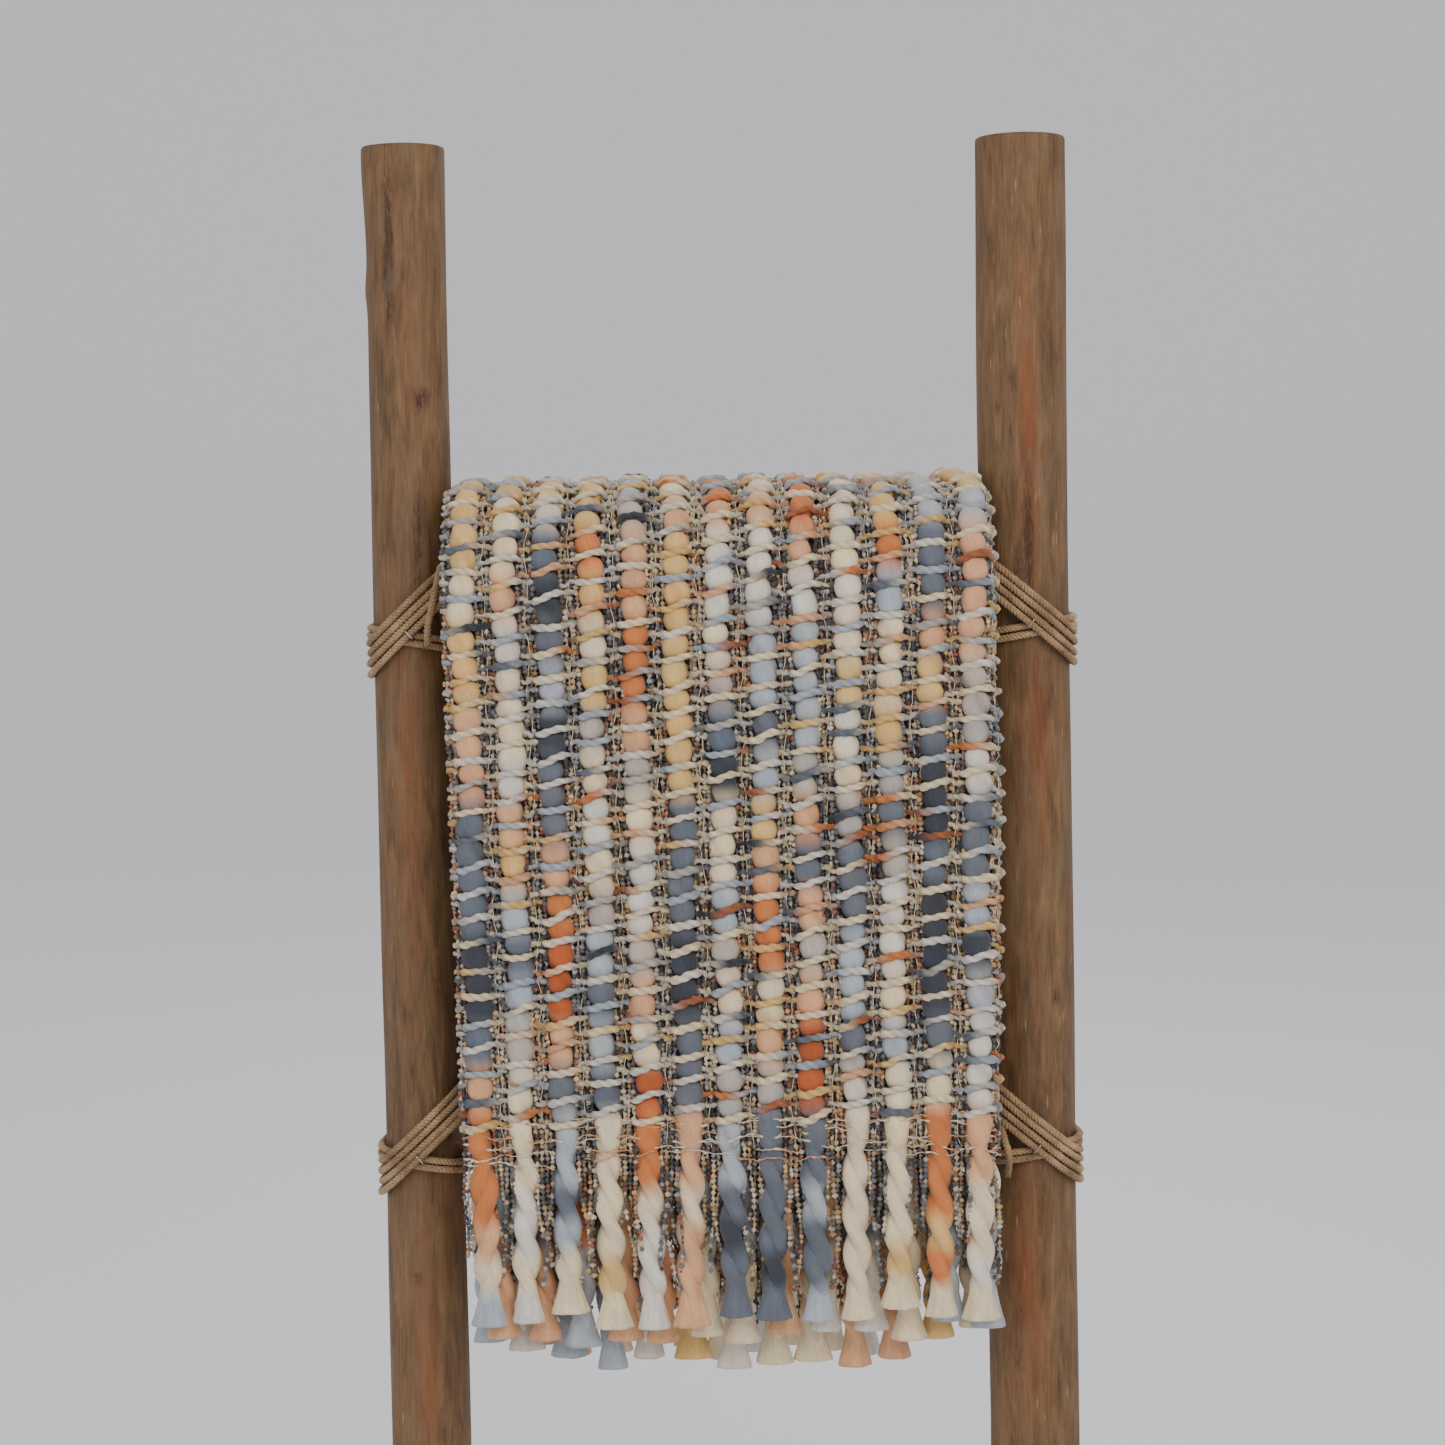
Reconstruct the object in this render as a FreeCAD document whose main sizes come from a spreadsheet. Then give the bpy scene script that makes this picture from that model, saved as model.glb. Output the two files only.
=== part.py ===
# A leaning ladder of natural poles, lashed with jute at every joint, carrying a woven throw.
# Right is +X, the ladder leans back towards +Y, and the floor is Z = 0. Millimetres and degrees.
import FreeCAD, Part
import Sketcher
import math
import os
import re

from FreeCAD import Vector

doc = FreeCAD.newDocument("leaning_ladder")

# ---------------------------------------------------------------- sizes

sheet = doc.addObject("Spreadsheet::Sheet", "Sizes")
driving = [
    ("lean_angle", 10),             # the ladder's lean from upright
    ("ladder_length", 1800),        # along a pole, from the floor to its top
    ("upright_spacing", 488),       # between the two poles' centre lines
    ("left_upright_radius", 31.5),
    ("right_upright_radius", 35.5),
    ("upright_top_chamfer", 2),
    ("first_rung", 195),            # along a pole, from the floor to the lowest rung's centre line
    ("rung_pitch", 415),            # along a pole, from rung to rung
    ("rung_radius", 29),
    ("shoulder_gap", 0.3),          # from a rung's shoulder to its pole
    ("tenon_radius", 16),
    ("tenon_past_axis", 6),         # how far a tenon reaches past its pole's centre line
    ("glue_gap", 0.1),              # round a tenon in its mortise
    ("screw_radius", 2.25),
    ("screw_length", 45),
    ("screw_head_radius", 4.2),
    ("screw_head_height", 2.6),
    ("screw_gap", 0.1),             # round a screw in its holes
    ("screw_sink", 3),              # from a pole's back to the top of a screw's head
    ("strand_radius", 3),           # the jute twine
    ("rope_gap", 0.3),              # between turns of twine, and under them
    ("staple_wire_radius", 0.6),
    ("staple_crown", 9),
    ("staple_bite", 6),             # how far a staple's legs go into the pole
    ("throw_thickness", 67),        # three folded layers, each about 22 thick
    ("throw_rung_gap", 1),          # between the throw and the rung that it hangs over
    ("throw_lashing_gap", 0.6),     # between the throw and the twine that it passes over
    ("throw_side_gap", 5),          # between the throw and each pole
    ("throw_overlap", 5.5),         # how far the front panel laps over each pole
    ("front_drop", 408),            # from the top rung's centre line down to the front hem
    ("back_drop", 430),             # from the top rung's centre line down to the back hem
    ("fringe_length", 126),
    ("tassel_top_width", 18),
    ("tassel_end_width", 29),
    ("tassel_edge_gap", 1.2),       # from a tassel to the front and back of the hem
]
for row, (alias, value) in enumerate(driving, start=1):
    sheet.set("A%d" % row, alias)
    sheet.set("B%d" % row, str(value))
    sheet.setAlias("B%d" % row, alias)
doc.recompute()

rung_count = 4
over_turns = 4       # turns of twine that go over a rung
under_turns = 2      # turns that go under it, next to the pole
under_drop = 1.2    # how far each turn under the rung lies below the next, in strand steps
tassel_columns = 13
sides = {"left": -1, "right": 1}


def size(alias):
    """A driving size, as a plain number."""
    return float(sheet.get(alias))


def cell(text):
    """An expression with every driving size's name pointed at the sheet."""
    names = "|".join(alias for alias, value in driving)
    return re.sub(r"\b(%s)\b" % names, r"Sizes.\1", text)


# The depth of the whole ladder is centred on the origin, and so is its width.
depth_centre = ("(ladder_length * sin(lean_angle) + right_upright_radius * cos(lean_angle)"
                " - right_upright_radius / cos(lean_angle)) / 2")
width_centre = "(right_upright_radius - left_upright_radius) / 2"


def stand(obj, along, across):
    """Lean an object back with the ladder, at a distance along it and across it."""
    obj.Placement = FreeCAD.Placement(Vector(0, 0, 0), FreeCAD.Rotation(Vector(1, 0, 0), -1))
    obj.setExpression(".Placement.Rotation.Angle", cell("(0 - lean_angle) * 1deg"))
    obj.setExpression(".Placement.Base.x", cell("%s - %s" % (across, width_centre)))
    obj.setExpression(".Placement.Base.y", cell("(%s) * sin(lean_angle) - %s" % (along, depth_centre)))
    obj.setExpression(".Placement.Base.z", cell("(%s) * cos(lean_angle)" % along))


def rung_height(number):
    return "first_rung + %d * rung_pitch" % (number - 1)


def pole_place(side):
    return "%d * upright_spacing / 2" % sides[side]


# ---------------------------------------------------------------- sketches and features

def sketch_on(body, role, name, offset=None):
    """A sketch on one of the body's own origin planes, moved along the plane's normal."""
    plane = [item for item in body.Origin.OriginFeatures if item.Role == role][0]
    sketch = body.newObject("Sketcher::SketchObject", name)
    sketch.AttachmentSupport = [(plane, "")]
    sketch.MapMode = "FlatFace"
    if offset:
        sketch.setExpression("AttachmentOffset.Base.z", cell(offset))
    return sketch


def limit(sketch, kind, *where, to):
    """A dimension that follows an expression."""
    value = sketch.evalExpression(cell(to))
    value = float(getattr(value, "Value", value))
    if kind == "Angle":
        index = sketch.addConstraint(Sketcher.Constraint(kind, *where, math.radians(value)))
        sketch.setExpression("Constraints[%d]" % index, cell("(%s) * 1deg" % to))
    else:
        index = sketch.addConstraint(Sketcher.Constraint(kind, *where, value))
        sketch.setExpression("Constraints[%d]" % index, cell(to))


def fix(sketch, *rule):
    sketch.addConstraint(Sketcher.Constraint(*rule))


def line(sketch, start, end):
    return sketch.addGeometry(Part.LineSegment(Vector(*start, 0), Vector(*end, 0)), False)


def arc(sketch, radius, start, end):
    """An arc about the sketch's origin, anticlockwise, its angles in degrees."""
    circle = Part.Circle(Vector(0, 0, 0), Vector(0, 0, 1), radius)
    index = sketch.addGeometry(Part.ArcOfCircle(circle, math.radians(start), math.radians(end)), False)
    fix(sketch, "Coincident", index, 3, -1, 1)
    return index


def circle_on_axis(sketch, radius, height):
    """A circle centred on the sketch's upright axis, at a height."""
    start = Part.Circle(Vector(0, sketch.evalExpression(cell(height)), 0), Vector(0, 0, 1), 1)
    index = sketch.addGeometry(start, False)
    limit(sketch, "Radius", index, to=radius)
    if height == "0":
        fix(sketch, "Coincident", index, 3, -1, 1)
    else:
        fix(sketch, "PointOnObject", index, 3, -2)
        limit(sketch, "DistanceY", -1, 1, index, 3, to=height)


def outline(sketch, corners):
    """A closed outline of straight edges, each corner placed by two expressions."""
    places = [[float(sketch.evalExpression(cell(text))) for text in corner] for corner in corners]
    count = len(corners)
    edges = [line(sketch, places[i], places[(i + 1) % count]) for i in range(count)]
    for i in range(count):
        fix(sketch, "Coincident", edges[i], 2, edges[(i + 1) % count], 1)
    for edge, (across, up) in zip(edges, corners):
        if across == "0":
            fix(sketch, "PointOnObject", edge, 1, -2)
        else:
            limit(sketch, "DistanceX", -1, 1, edge, 1, to=across)
        if up == "0":
            fix(sketch, "PointOnObject", edge, 1, -1)
        else:
            limit(sketch, "DistanceY", -1, 1, edge, 1, to=up)


def feature(body, kind, name, sketch, one_way=None, other_way=None, both=None):
    """A pad or a pocket of a sketch, one way, two ways or evenly both ways."""
    item = body.newObject("PartDesign::" + kind, name)
    item.Profile = sketch
    if both:
        item.SideType = "Symmetric"
        item.setExpression("Length", cell(both))
    elif other_way:
        item.SideType = "Two sides"
        item.setExpression("Length", cell(one_way))
        item.setExpression("Length2", cell(other_way))
    else:
        item.setExpression("Length", cell(one_way))
    return item


def turned(body, name, sketch, axis):
    """A full turn of a sketch about one of its own axes."""
    item = body.newObject("PartDesign::Revolution", name)
    item.Profile = sketch
    item.ReferenceAxis = (sketch, [axis])
    item.Angle = 360
    return item


def cut_check(body, before, at_least):
    """Stop if the last cut took less wood than it should."""
    doc.recompute()
    removed = before - body.Shape.Volume
    if removed < at_least:
        raise RuntimeError("%s: a cut removed only %.0f cubic mm" % (body.Label, removed))
    return body.Shape.Volume


# ---------------------------------------------------------------- poles

def upright(side):
    """A pole with its foot cut level with the floor, and four blind mortises."""
    radius = side + "_upright_radius"
    body = doc.addObject("PartDesign::Body", "Upright" + side.title())
    body.Label = "upright_" + side

    section = sketch_on(body, "XY_Plane", "PoleSection" + side)
    circle_on_axis(section, radius, "0")
    foot_reach = "%s * tan(lean_angle) + 5" % radius
    feature(body, "Pad", "Pole" + side, section, one_way="ladder_length", other_way=foot_reach)
    doc.recompute()
    left = body.Shape.Volume

    floor = sketch_on(body, "YZ_Plane", "Floor" + side)
    wide = "2 * " + radius
    outline(floor, [
        ("0 - " + wide, "0 - %s * tan(lean_angle)" % wide),
        (wide, "%s * tan(lean_angle)" % wide),
        (wide, "0 - " + wide),
        ("0 - " + wide, "0 - " + wide),
    ])
    feature(body, "Pocket", "LevelFoot" + side, floor, both="2 * " + wide)
    left = cut_check(body, left, 5 * math.pi * size(radius) ** 2)

    # The mortise runs from the pole's inner face to a little past its centre line.
    mouth = sketch_on(body, "YZ_Plane", "MortiseMouth" + side)
    circle_on_axis(mouth, "tenon_radius + glue_gap", "first_rung")
    mortise = feature(body, "Pocket", "Mortise" + side, mouth,
                      one_way=radius + " + 5", other_way="tenon_past_axis")
    mortise.Reversed = side == "left"
    left = cut_check(body, left, math.pi * size("tenon_radius") ** 2 * size(radius) * 0.9)

    # The screw comes in from the back, and its head is sunk below the wood.
    hole = sketch_on(body, "XZ_Plane", "ScrewHole" + side)
    circle_on_axis(hole, "screw_radius + screw_gap", "first_rung")
    shank = feature(body, "Pocket", "Shank" + side, hole, one_way=radius + " + 5")
    left = cut_check(body, left, math.pi * size("screw_radius") ** 2 * 10)

    seat = "%s - screw_sink - screw_head_height" % radius
    head = sketch_on(body, "XZ_Plane", "HeadHole" + side, offset="0 - (%s)" % seat)
    circle_on_axis(head, "screw_head_radius + screw_gap", "first_rung")
    counterbore = feature(body, "Pocket", "Head" + side, head, one_way="screw_sink + screw_head_height + 5")
    left = cut_check(body, left, math.pi * size("screw_head_radius") ** 2 * size("screw_sink"))

    pattern = body.newObject("PartDesign::LinearPattern", "Joints" + side)
    pattern.Originals = [mortise, shank, counterbore]
    up = [item for item in body.Origin.OriginFeatures if item.Role == "Z_Axis"][0]
    pattern.Direction = (up, [""])
    pattern.setExpression("Length", cell("%d * rung_pitch" % (rung_count - 1)))
    pattern.Occurrences = rung_count
    body.Tip = pattern
    cut_check(body, left, math.pi * size("tenon_radius") ** 2 * size(radius) * 0.9 * (rung_count - 1))

    rim = [number for number, edge in enumerate(pattern.Shape.Edges, start=1)
           if min(v.Z for v in edge.Vertexes) > size("ladder_length") - 0.01]
    chamfer = body.newObject("PartDesign::Chamfer", "TopEdge" + side)
    chamfer.Base = (pattern, ["Edge%d" % number for number in rim])
    chamfer.setExpression("Size", cell("upright_top_chamfer"))
    body.Tip = chamfer
    stand(body, "0", pole_place(side))


# ---------------------------------------------------------------- rungs

def rung(number):
    """A rung turned down to a round tenon at each end, drilled for its two screws."""
    body = doc.addObject("PartDesign::Body", "Rung%d" % number)
    body.Label = "rung_%d" % number
    half = sketch_on(body, "XZ_Plane", "RungHalf%d" % number)
    end = "(upright_spacing / 2 + tenon_past_axis)"
    left_shoulder = "left_upright_radius + shoulder_gap - upright_spacing / 2"
    right_shoulder = "upright_spacing / 2 - right_upright_radius - shoulder_gap"
    outline(half, [
        ("0 - " + end, "0"),
        (end, "0"),
        (end, "tenon_radius"),
        (right_shoulder, "tenon_radius"),
        (right_shoulder, "rung_radius"),
        (left_shoulder, "rung_radius"),
        (left_shoulder, "tenon_radius"),
        ("0 - " + end, "tenon_radius"),
    ])
    turned(body, "RungTurned%d" % number, half, "H_Axis")
    doc.recompute()
    before = body.Shape.Volume

    # Each screw stops inside the tenon.
    for side in sides:
        pilot = sketch_on(body, "XZ_Plane", "Pilot%s%d" % (side, number))
        dot = pilot.addGeometry(Part.Circle(Vector(sides[side] * 240, 0, 0), Vector(0, 0, 1), 2), False)
        limit(pilot, "Radius", dot, to="screw_radius + screw_gap")
        fix(pilot, "PointOnObject", dot, 3, -1)
        limit(pilot, "DistanceX", -1, 1, dot, 3, to=pole_place(side))
        tip = "screw_length + screw_sink + screw_gap - %s_upright_radius" % side
        feature(body, "Pocket", "PilotHole%s%d" % (side, number), pilot,
                one_way="tenon_radius + 5", other_way=tip)
    cut_check(body, before, 2 * math.pi * size("screw_radius") ** 2 * size("tenon_radius"))
    stand(body, rung_height(number), "0")


def screw(side, number):
    """A pan-head wood screw with a pointed end, lying along +Y with its head at the pole's back."""
    body = doc.addObject("PartDesign::Body", "Screw%s%d" % (side, number))
    body.Label = "screw_%s_%d" % (side, number)
    half = sketch_on(body, "XY_Plane", "ScrewHalf%s%d" % (side, number))
    top = "%s_upright_radius - screw_sink" % side
    outline(half, [
        ("0", "%s - screw_length" % top),
        ("screw_radius", "%s - screw_length + 2 * screw_radius" % top),
        ("screw_radius", "%s - screw_head_height" % top),
        ("screw_head_radius", "%s - screw_head_height" % top),
        ("screw_head_radius", "%s - screw_head_height / 2" % top),
        ("screw_head_radius / 2", top),
        ("0", top),
    ])
    turned(body, "ScrewTurned%s%d" % (side, number), half, "V_Axis")
    stand(body, rung_height(number), pole_place(side))


# ---------------------------------------------------------------- lashings and staples

def rounded_path(points, share):
    """Straight runs joined by tangent arcs. Each arc uses up a share of its shorter run."""
    edges = []
    here = points[0]
    for before, corner, after in zip(points, points[1:], points[2:]):
        back = (before - corner).normalize()
        ahead = (after - corner).normalize()
        shorter = min((before - corner).Length, (after - corner).Length)
        turn = math.pi - back.getAngle(ahead)
        reach = share * shorter
        radius = reach / math.tan(turn / 2)
        start = corner + back * reach
        end = corner + ahead * reach
        inward = (back + ahead).normalize()
        centre = corner + inward * math.hypot(radius, reach)
        middle = centre - inward * radius
        edges.append(Part.LineSegment(here, start).toShape())
        edges.append(Part.Arc(start, middle, end).toShape())
        here = end
    edges.append(Part.LineSegment(here, points[-1]).toShape())
    return Part.Wire(edges)


def tube(path, radius):
    """A round tube along a path, checked against its section times its length."""
    start = path.Edges[0].Vertexes[0].Point
    heading = (path.Edges[0].Vertexes[1].Point - start).normalize()
    section = Part.Wire(Part.Circle(start, heading, radius).toShape())
    solid = path.makePipeShell([section], True, False)
    wanted = math.pi * radius ** 2 * path.Length
    if abs(solid.Volume - wanted) > 0.02 * wanted:
        raise RuntimeError("a tube has the wrong volume: %.0f, not %.0f" % (solid.Volume, wanted))
    return solid


def lashing_sizes(side):
    """Where the twine runs round a joint: outer side, rung, depths, and the step between turns."""
    off = size("strand_radius") + size("rope_gap")
    pole = size(side + "_upright_radius")
    outer = pole + off
    rise = size("rung_radius") + off
    near = pole + off
    far = near + 2 * size("strand_radius") + size("rope_gap")
    tilt = math.atan2(rise, outer)
    pitch = 2 * size("strand_radius") + size("rope_gap")
    return outer, rise, near, far, tilt, pitch / math.sin(tilt), pitch / math.cos(tilt)


def lashing(side, number):
    """One length of jute: turns round the pole under the rung, then over the rung and low."""
    outer, rise, near, far, tilt, step_in, step_up = lashing_sizes(side)
    pitch = 2 * size("strand_radius") + size("rope_gap")
    out = sides[side]
    lowest = under_turns - 1
    route = [(-outer - lowest * pitch, near, -rise - under_drop * lowest * pitch)]
    for turn in range(under_turns):
        below = lowest - turn
        inner = outer + below * pitch
        beneath = -rise - under_drop * below * pitch
        level = -rise + (turn + 1) * pitch
        route.append((-inner, -near, beneath))
        route.append((outer, -near, level))
        route.append((outer, near, level))
        if turn < under_turns - 1:
            route.append((-inner + pitch, near, beneath + under_drop * pitch))
    route.append((-outer, far, rise))
    for turn in range(over_turns):
        inner = outer + turn * step_in
        low = -rise - turn * step_up
        route.append((-inner, -far, rise))
        route.append((outer, -far, low))
        route.append((outer, far, low))
        if turn < over_turns - 1:
            route.append((-inner - step_in, far, rise))
    route.append((0, far, low + outer * math.tan(tilt)))
    points = [Vector(out * x, y, z) for x, y, z in route]
    item = doc.addObject("Part::Feature", "Lashing%s%d" % (side, number))
    item.Label = "lashing_%s_%d" % (side, number)
    item.Shape = tube(rounded_path(points, 0.48), size("strand_radius"))
    stand(item, rung_height(number), pole_place(side))


def staple(side, number):
    """A wire staple over the lowest strand on the pole's front, its legs driven into the wood."""
    outer, rise, near, far, tilt, step_in, step_up = lashing_sizes(side)
    wire = size("staple_wire_radius")
    half = size("staple_crown") / 2
    strand_low = rise - (outer + (over_turns - 1) * step_in) * math.tan(tilt)
    across = Vector(math.sin(tilt) * sides[side], 0, math.cos(tilt))
    front = Vector(0, -far - size("strand_radius") - wire, strand_low)
    depth = Vector(0, far + size("strand_radius") + wire - near + size("rope_gap")
                   + size("strand_radius") + size("staple_bite"), 0)
    points = [front - across * half + depth, front - across * half,
              front + across * half, front + across * half + depth]
    item = doc.addObject("Part::Feature", "Staple%s%d" % (side, number))
    item.Label = "staple_%s_%d" % (side, number)
    item.Shape = tube(rounded_path(points, 0.2), wire)
    stand(item, rung_height(number), pole_place(side))


# ---------------------------------------------------------------- throw

outer_fold = "rung_radius + throw_rung_gap + throw_thickness"
inner_fold = "rung_radius + throw_rung_gap"
# Beside the poles the folds stand clear of the twine round the thicker pole's joint.
edge_fold = ("sqrt((right_upright_radius + 4 * strand_radius + 2 * rope_gap) ^ 2"
             " + (rung_radius / 2) ^ 2) + throw_lashing_gap")
pole_gap = "(upright_spacing - left_upright_radius - right_upright_radius)"


def front_line(radius, drop):
    """How far in front of the rung a line that leans with the ladder is, at a drop below it."""
    lean = math.radians(size("lean_angle"))
    return -(radius + drop * math.sin(lean)) / math.cos(lean)


def read(sketch, text):
    return float(sketch.evalExpression(cell(text)))


def saddle_profile(sketch, inner):
    """The throw's section: down the front with the ladder, over the rung, and plumb at the back."""
    near, away = read(sketch, inner), read(sketch, outer_fold)
    front, back = size("front_drop"), size("back_drop")
    lean = math.radians(size("lean_angle"))
    crest = 180 - size("lean_angle")

    def tangent_point(radius):
        return (-radius * math.cos(lean), radius * math.sin(lean))

    back_face = line(sketch, (away, 0), (away, -back))
    back_hem = line(sketch, (away, -back), (near, -back))
    back_inside = line(sketch, (near, -back), (near, 0))
    inside = arc(sketch, near, 0, crest)
    front_inside = line(sketch, tangent_point(near), (front_line(near, front), -front))
    front_hem = line(sketch, (front_line(near, front), -front), (front_line(away, front), -front))
    front_face = line(sketch, (front_line(away, front), -front), tangent_point(away))
    outside = arc(sketch, away, 0, crest)

    fix(sketch, "Coincident", back_face, 2, back_hem, 1)
    fix(sketch, "Coincident", back_hem, 2, back_inside, 1)
    fix(sketch, "Coincident", back_inside, 2, inside, 1)
    fix(sketch, "Tangent", inside, 2, front_inside, 1)
    fix(sketch, "Coincident", front_inside, 2, front_hem, 1)
    fix(sketch, "Coincident", front_hem, 2, front_face, 1)
    fix(sketch, "Tangent", front_face, 2, outside, 2)
    fix(sketch, "Coincident", outside, 1, back_face, 1)
    for upright_edge in (back_face, back_inside):
        fix(sketch, "Vertical", upright_edge)
    for level_edge in (back_hem, front_hem):
        fix(sketch, "Horizontal", level_edge)
    fix(sketch, "PointOnObject", inside, 1, -1)
    fix(sketch, "PointOnObject", outside, 1, -1)
    fix(sketch, "Parallel", front_inside, front_face)
    limit(sketch, "Angle", front_face, to="90 - lean_angle")
    limit(sketch, "Radius", inside, to=inner)
    limit(sketch, "Radius", outside, to=outer_fold)
    limit(sketch, "DistanceY", back_hem, 1, -1, 1, to="back_drop")
    limit(sketch, "DistanceY", front_hem, 1, -1, 1, to="front_drop")


def lap_profile(sketch):
    """The section of the front panel's edges, which lie wholly in front of the poles."""
    near, away = read(sketch, edge_fold), read(sketch, outer_fold)
    front = size("front_drop")
    lean = math.radians(size("lean_angle"))
    shoulder = math.pi - lean - math.acos(near / away)
    top = (away * math.cos(shoulder), away * math.sin(shoulder))
    low_out = (front_line(away, front), -front)
    low_in = (front_line(near, front), -front)

    fold = arc(sketch, away, math.degrees(shoulder), 180 - size("lean_angle"))
    face = line(sketch, (-away * math.cos(lean), away * math.sin(lean)), low_out)
    hem = line(sketch, low_out, low_in)
    inside = line(sketch, low_in, top)
    fix(sketch, "Tangent", fold, 2, face, 1)
    fix(sketch, "Coincident", face, 2, hem, 1)
    fix(sketch, "Coincident", hem, 2, inside, 1)
    fix(sketch, "Coincident", inside, 2, fold, 1)
    fix(sketch, "Horizontal", hem)
    fix(sketch, "Parallel", face, inside)
    limit(sketch, "Angle", inside, to="90 - lean_angle")
    limit(sketch, "Radius", fold, to=outer_fold)
    limit(sketch, "Distance", -1, 1, inside, to=edge_fold)
    limit(sketch, "DistanceY", hem, 1, -1, 1, to="front_drop")


def hang(obj, across="0", behind="0", below="0"):
    """Place an object square to the room, measured from the middle of the top rung."""
    top = rung_height(rung_count)
    obj.setExpression(".Placement.Base.x", cell("%s - %s" % (across, width_centre)))
    obj.setExpression(".Placement.Base.y",
                      cell("(%s) * sin(lean_angle) - %s + %s" % (top, depth_centre, behind)))
    obj.setExpression(".Placement.Base.z", cell("(%s) * cos(lean_angle) - (%s)" % (top, below)))


# The throw hangs midway between the poles' inner faces.
throw_middle = "(left_upright_radius - right_upright_radius) / 2"


def throw_body():
    """The folded cloth: narrow over the rung between the lashings, fuller beside and in front."""
    body = doc.addObject("PartDesign::Body", "ThrowBody")
    body.Label = "throw_body"
    tilt = lashing_sizes("right")[4]
    reach = "(2 * strand_radius + rope_gap) * (1 + %d / %.6f)" % (over_turns - 1, math.sin(tilt))
    between_lashings = "%s - 2 * (%s + throw_lashing_gap)" % (pole_gap, reach)
    between_poles = "%s - 2 * throw_side_gap" % pole_gap
    in_front = "%s + 2 * throw_overlap" % pole_gap

    beside = sketch_on(body, "YZ_Plane", "BesideSection")
    saddle_profile(beside, edge_fold)
    feature(body, "Pad", "BesideLashings", beside, both=between_poles)
    middle = sketch_on(body, "YZ_Plane", "MiddleSection")
    saddle_profile(middle, inner_fold)
    feature(body, "Pad", "OverRung", middle, both=between_lashings)
    lap = sketch_on(body, "YZ_Plane", "LapSection")
    lap_profile(lap)
    feature(body, "Pad", "FrontPanel", lap, both=in_front)
    hang(body, across=throw_middle)
    return body


def fringe(label, drop, front_at, back_at, width):
    """A row of tassels hanging plumb from a hem, each flaring to a brush-cut end."""
    lean = math.radians(size("lean_angle"))
    gap = size("tassel_edge_gap")
    middle = (front_at + back_at) / 2
    deep_end = (back_at - front_at) / 2 - gap
    deep_top = deep_end - 2 * gap
    pitch = width / tassel_columns
    length = size("fringe_length")

    def section(half_width, half_depth, level):
        oval = Part.Ellipse(Vector(0, 0, level), max(half_width, half_depth), min(half_width, half_depth))
        edge = oval.toShape()
        if half_depth > half_width:
            edge.rotate(Vector(0, 0, level), Vector(0, 0, 1), 90)
        return Part.Wire(edge)

    top = section(size("tassel_top_width") / 2, deep_top, 0)
    end = section(size("tassel_end_width") / 2, deep_end, -length)
    tassel = Part.makeLoft([top, end], True, True)
    first = -(tassel_columns - 1) / 2 * pitch
    row = [tassel.translated(Vector(first + i * pitch, middle, 0)) for i in range(tassel_columns)]
    item = doc.addObject("Part::Feature", label.title().replace("_", ""))
    item.Label = label
    item.Shape = Part.makeCompound(row)
    hang(item, across=throw_middle, below=drop)


# ---------------------------------------------------------------- the whole ladder

for side in sides:
    upright(side)
for number in range(1, rung_count + 1):
    rung(number)
    for side in sides:
        screw(side, number)
        lashing(side, number)
        staple(side, number)

cloth = throw_body()
fold_out = read(cloth, outer_fold)
fold_edge = read(cloth, edge_fold)
gap_width = read(cloth, pole_gap)
fringe("throw_fringe_front", "front_drop",
       front_line(fold_out, size("front_drop")), front_line(fold_edge, size("front_drop")),
       gap_width + 2 * size("throw_overlap"))
fringe("throw_fringe_back", "back_drop", fold_edge, fold_out,
       gap_width - 2 * size("throw_side_gap"))

doc.recompute()
faulty = [item.Name for item in doc.Objects if "Invalid" in item.State or "Error" in item.State]
if faulty:
    raise RuntimeError("these objects failed: " + ", ".join(faulty))

pieces = [item for item in doc.Objects if item.TypeId == "PartDesign::Body"
          or item.TypeId == "Part::Feature"]
os.makedirs("parts", exist_ok=True)
for piece in pieces:
    shape = piece.Shape
    if shape.isNull() or not shape.isValid():
        raise RuntimeError(piece.Label + " has no sound shape")
    shape.exportStep("parts/%s.step" % piece.Label)
    print("%-22s %2d solids %12.0f mm3" % (piece.Label, len(shape.Solids), shape.Volume))
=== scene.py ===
import math
import bpy
import numpy as np
from mathutils import Matrix, Vector


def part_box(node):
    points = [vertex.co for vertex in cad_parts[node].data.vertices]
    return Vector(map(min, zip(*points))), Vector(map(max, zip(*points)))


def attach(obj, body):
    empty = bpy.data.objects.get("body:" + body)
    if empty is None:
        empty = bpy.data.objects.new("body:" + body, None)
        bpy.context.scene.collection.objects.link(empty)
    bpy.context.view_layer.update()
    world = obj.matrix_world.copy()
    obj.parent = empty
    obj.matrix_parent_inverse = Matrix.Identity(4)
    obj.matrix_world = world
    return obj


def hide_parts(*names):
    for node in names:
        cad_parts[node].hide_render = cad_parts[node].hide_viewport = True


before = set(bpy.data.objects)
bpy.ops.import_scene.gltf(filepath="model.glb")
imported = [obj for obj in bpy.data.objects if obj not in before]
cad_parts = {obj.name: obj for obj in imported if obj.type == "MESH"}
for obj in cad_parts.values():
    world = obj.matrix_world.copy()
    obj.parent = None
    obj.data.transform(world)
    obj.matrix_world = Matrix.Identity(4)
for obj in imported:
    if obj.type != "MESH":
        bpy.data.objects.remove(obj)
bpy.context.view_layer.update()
milli = 0.001    # every length below is in millimetres until its mesh is made


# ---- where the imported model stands

def nodeSpan(node):
    low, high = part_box(node)
    return np.array(low) / milli, np.array(high) / milli


def nodeMiddle(node):
    low, high = nodeSpan(node)
    return (low + high) / 2


def rungRadius(number):
    low, high = nodeSpan("rung_%d" % number)
    return (high[2] - low[2]) / 2


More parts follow.
